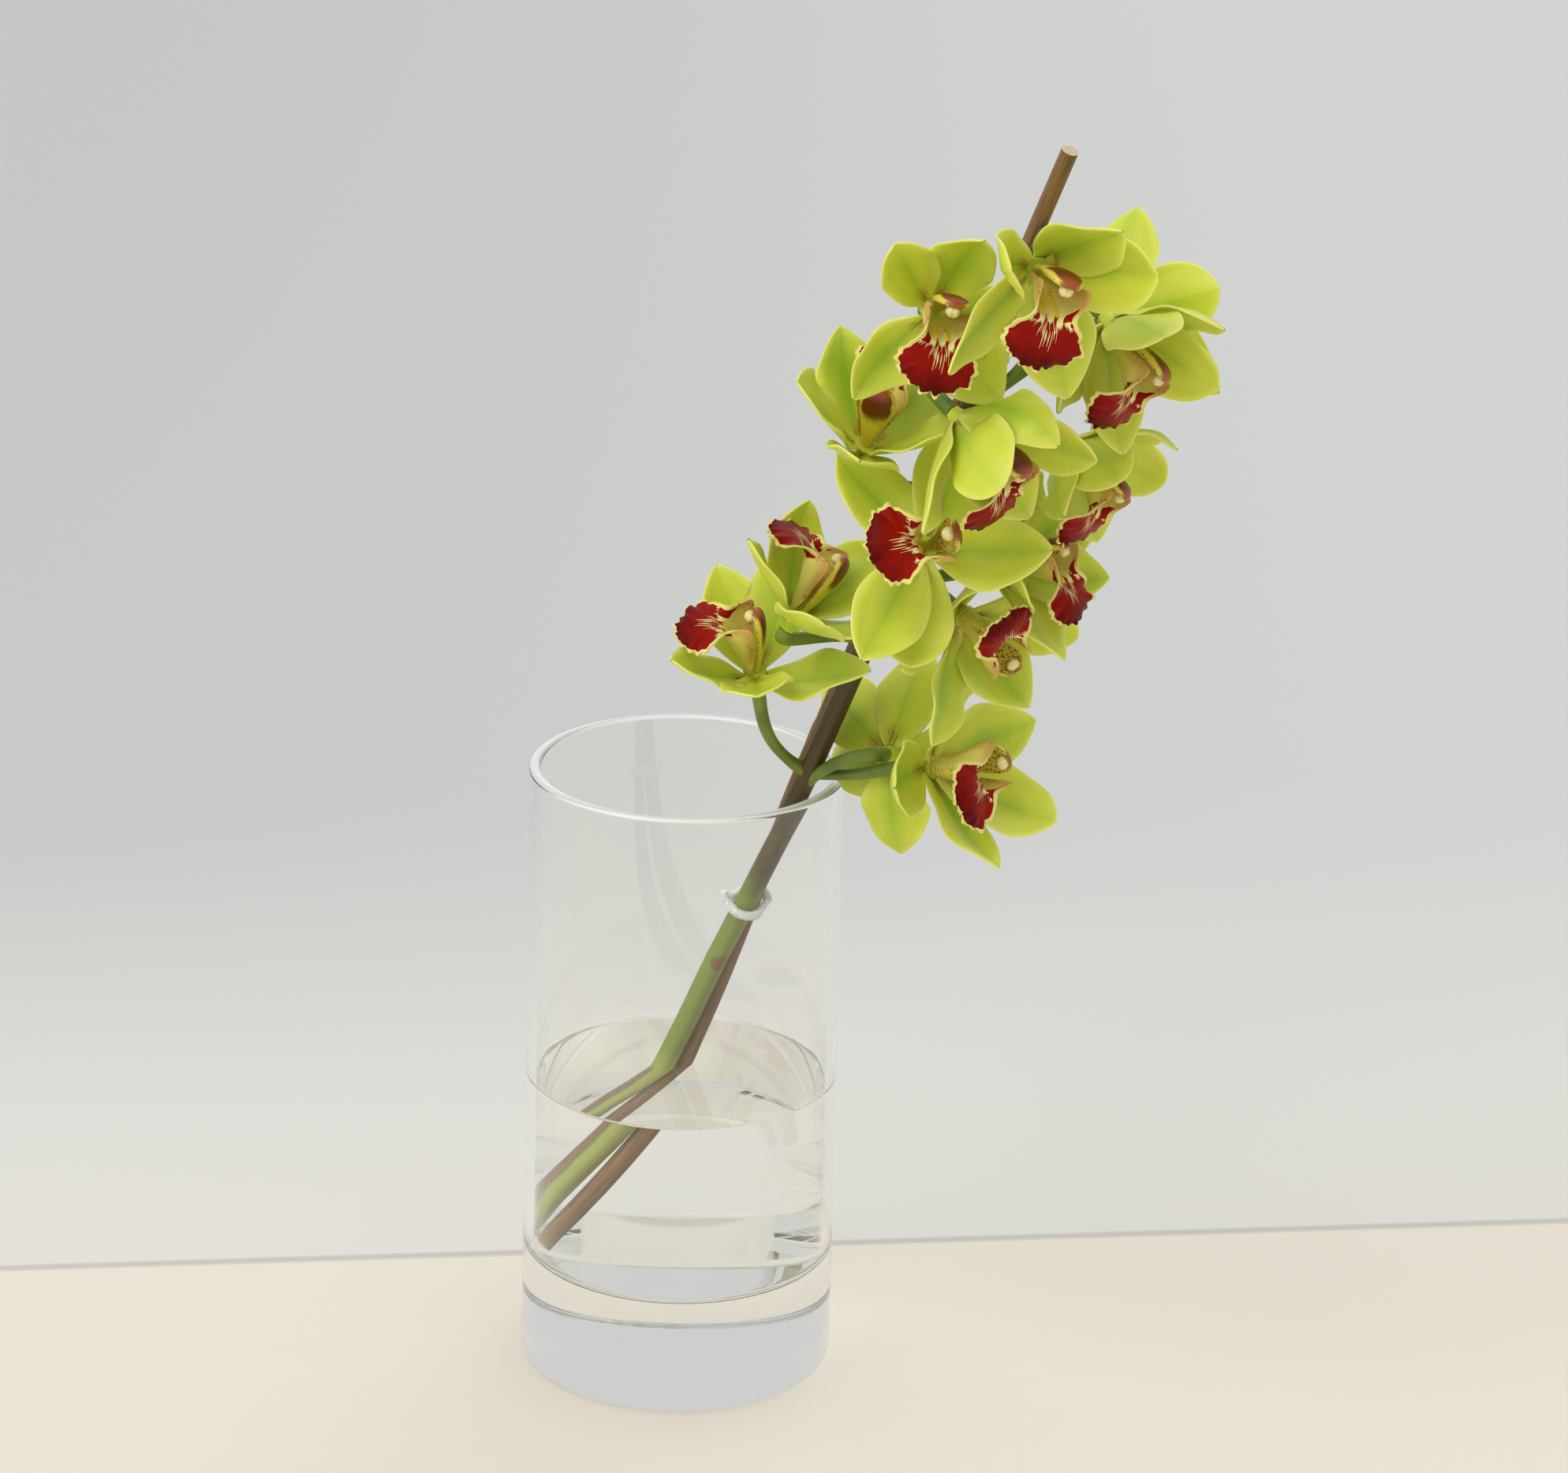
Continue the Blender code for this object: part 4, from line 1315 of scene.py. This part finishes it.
def floorMaterial():
    made, wire = newMaterial("floor", studioLook, Roughness=0.7, Specular_IOR_Level=0.2)
    spot = objectPlace(wire)
    turned = wire.node("ShaderNodeMapping", None, {
        "Vector": spot, "Rotation": (0, 0, radians(studio["edgeTurn"])),
    })
    away = turned.part(1)
    past = away.eased(studio["edge"], studio["edge"] + 0.004)
    # painted shade: a thin grey line along the table's back edge
    line = abs(away - studio["edge"] - 0.002).faded(0.001, 0.005)
    # painted light on the grey ground behind: lighter towards the right and just behind the table's
    # edge
    back = spot.part(0).eased(-0.7, 0.9).mixed("farBack", "litRightBack")
    back = away.eased(studio["edge"], 0.8).mixed("litNearBack", back)
    return feed(made, Base_Color=(line * 0.4).mixed(past.mixed("floor", back), "edge"))


def buildStudio():
    clearSelection()
    bpy.ops.mesh.primitive_circle_add(vertices=96, radius=studio["radius"], fill_type="NGON")
    piece = named("floor")
    bpy.ops.transform.translate(value=(0, 0, -studio["drop"]))
    bpy.ops.object.transform_apply(location=True)
    editMode(piece, "FACE", "SELECT")
    for ring in range(3):
        bpy.ops.mesh.inset(thickness=studio["radius"] / 6)
    objectMode()
    piece.data.materials.append(floorMaterial())


def lamp(kind, name, place, aim, power, colour, **settings):
    clearSelection()
    bpy.ops.object.light_add(type=kind, location=place)
    made = named(name)
    made.data.energy = power
    made.data.color = colour
    setAll(made.data, settings)
    made.rotation_euler = (Vector(aim) - Vector(place)).to_track_quat("-Z", "Y").to_euler()
    made.visible_transmission = False


def buildLights():
    spread = radians(studio["skySpread"])
    lamp("SUN", "keySky", (-1.1, -1.5, 2.1), (0, 0, 0), 1.1, (1.0, 0.99, 0.95), angle=spread)
    lamp("SUN", "backSky", (0.9, 1.6, 1.6), (0, 0, 0), 0.35, (1, 1, 1), angle=spread)
    lamp(
        "AREA", "leftSoftbox", (-2.1, -1.2, 1.5), (0.05, -0.05, 0.35), 6, (0.97, 0.99, 1.0),
        shape="RECTANGLE", size=1.2, size_y=1.6,
    )
    world = bpy.data.worlds.new("studioWorld")
    bpy.context.scene.world = world
    world.use_nodes = True
    background = world.node_tree.nodes["Background"]
    background.inputs["Color"].default_value = (*studio["world"], 1)
    background.inputs["Strength"].default_value = studio["worldStrength"]


cameraSetup = {
    "place": Vector((0, -2000, 1028)) * mm,
    "yaw": 1.276,
    "pitch": 19.618,
    "roll": 1.656,
    "lens": 104.78,
    "sensor": 36,
}


def buildCamera():
    setup = cameraSetup
    yaw, pitch, roll = (radians(setup[name]) for name in ("yaw", "pitch", "roll"))
    forward = Vector((sin(yaw) * cos(pitch), cos(yaw) * cos(pitch), -sin(pitch)))
    level = forward.cross(Vector((0, 0, 1))).normalized()
    above = level.cross(forward)
    right = level * cos(roll) + above * sin(roll)
    up = above * cos(roll) - level * sin(roll)
    clearSelection()
    bpy.ops.object.camera_add(location=setup["place"])
    camera = named("photoCamera")
    camera.rotation_euler = Matrix((right, up, -forward)).transposed().to_euler()
    camera.data.lens = setup["lens"]
    camera.data.sensor_width = setup["sensor"]
    camera.data.clip_end = 50
    bpy.context.scene.camera = camera
    scene = bpy.context.scene
    scene.view_settings.view_transform = "Standard"
    scene.view_settings.look = "None"
    scene.cycles.max_bounces = 48
    scene.cycles.glossy_bounces = 32
    scene.cycles.transmission_bounces = 40
    scene.cycles.transparent_max_bounces = 32


buildCamera()
buildStudio()
buildLights()
print("studio, lights and camera ready")

buildVase()
buildWater()
print("vase and water done")

buildCane()
buildStem()
buildTies()
print("cane, stem and ties done")

tepalFinish = tepalMaterial()
lipFinish = lipMaterial()
lipBackFinish = lipBackMaterial()
columnFinish = columnMaterial()
capFinish = capMaterial()
for number, bloom in blooms.items():
    buildTepals(number, bloom, tepalFinish)
    buildLip(number, bloom, lipFinish, lipBackFinish)
    buildColumn(number, bloom, columnFinish, capFinish)
print(len(blooms), "blooms done")

clearSelection()
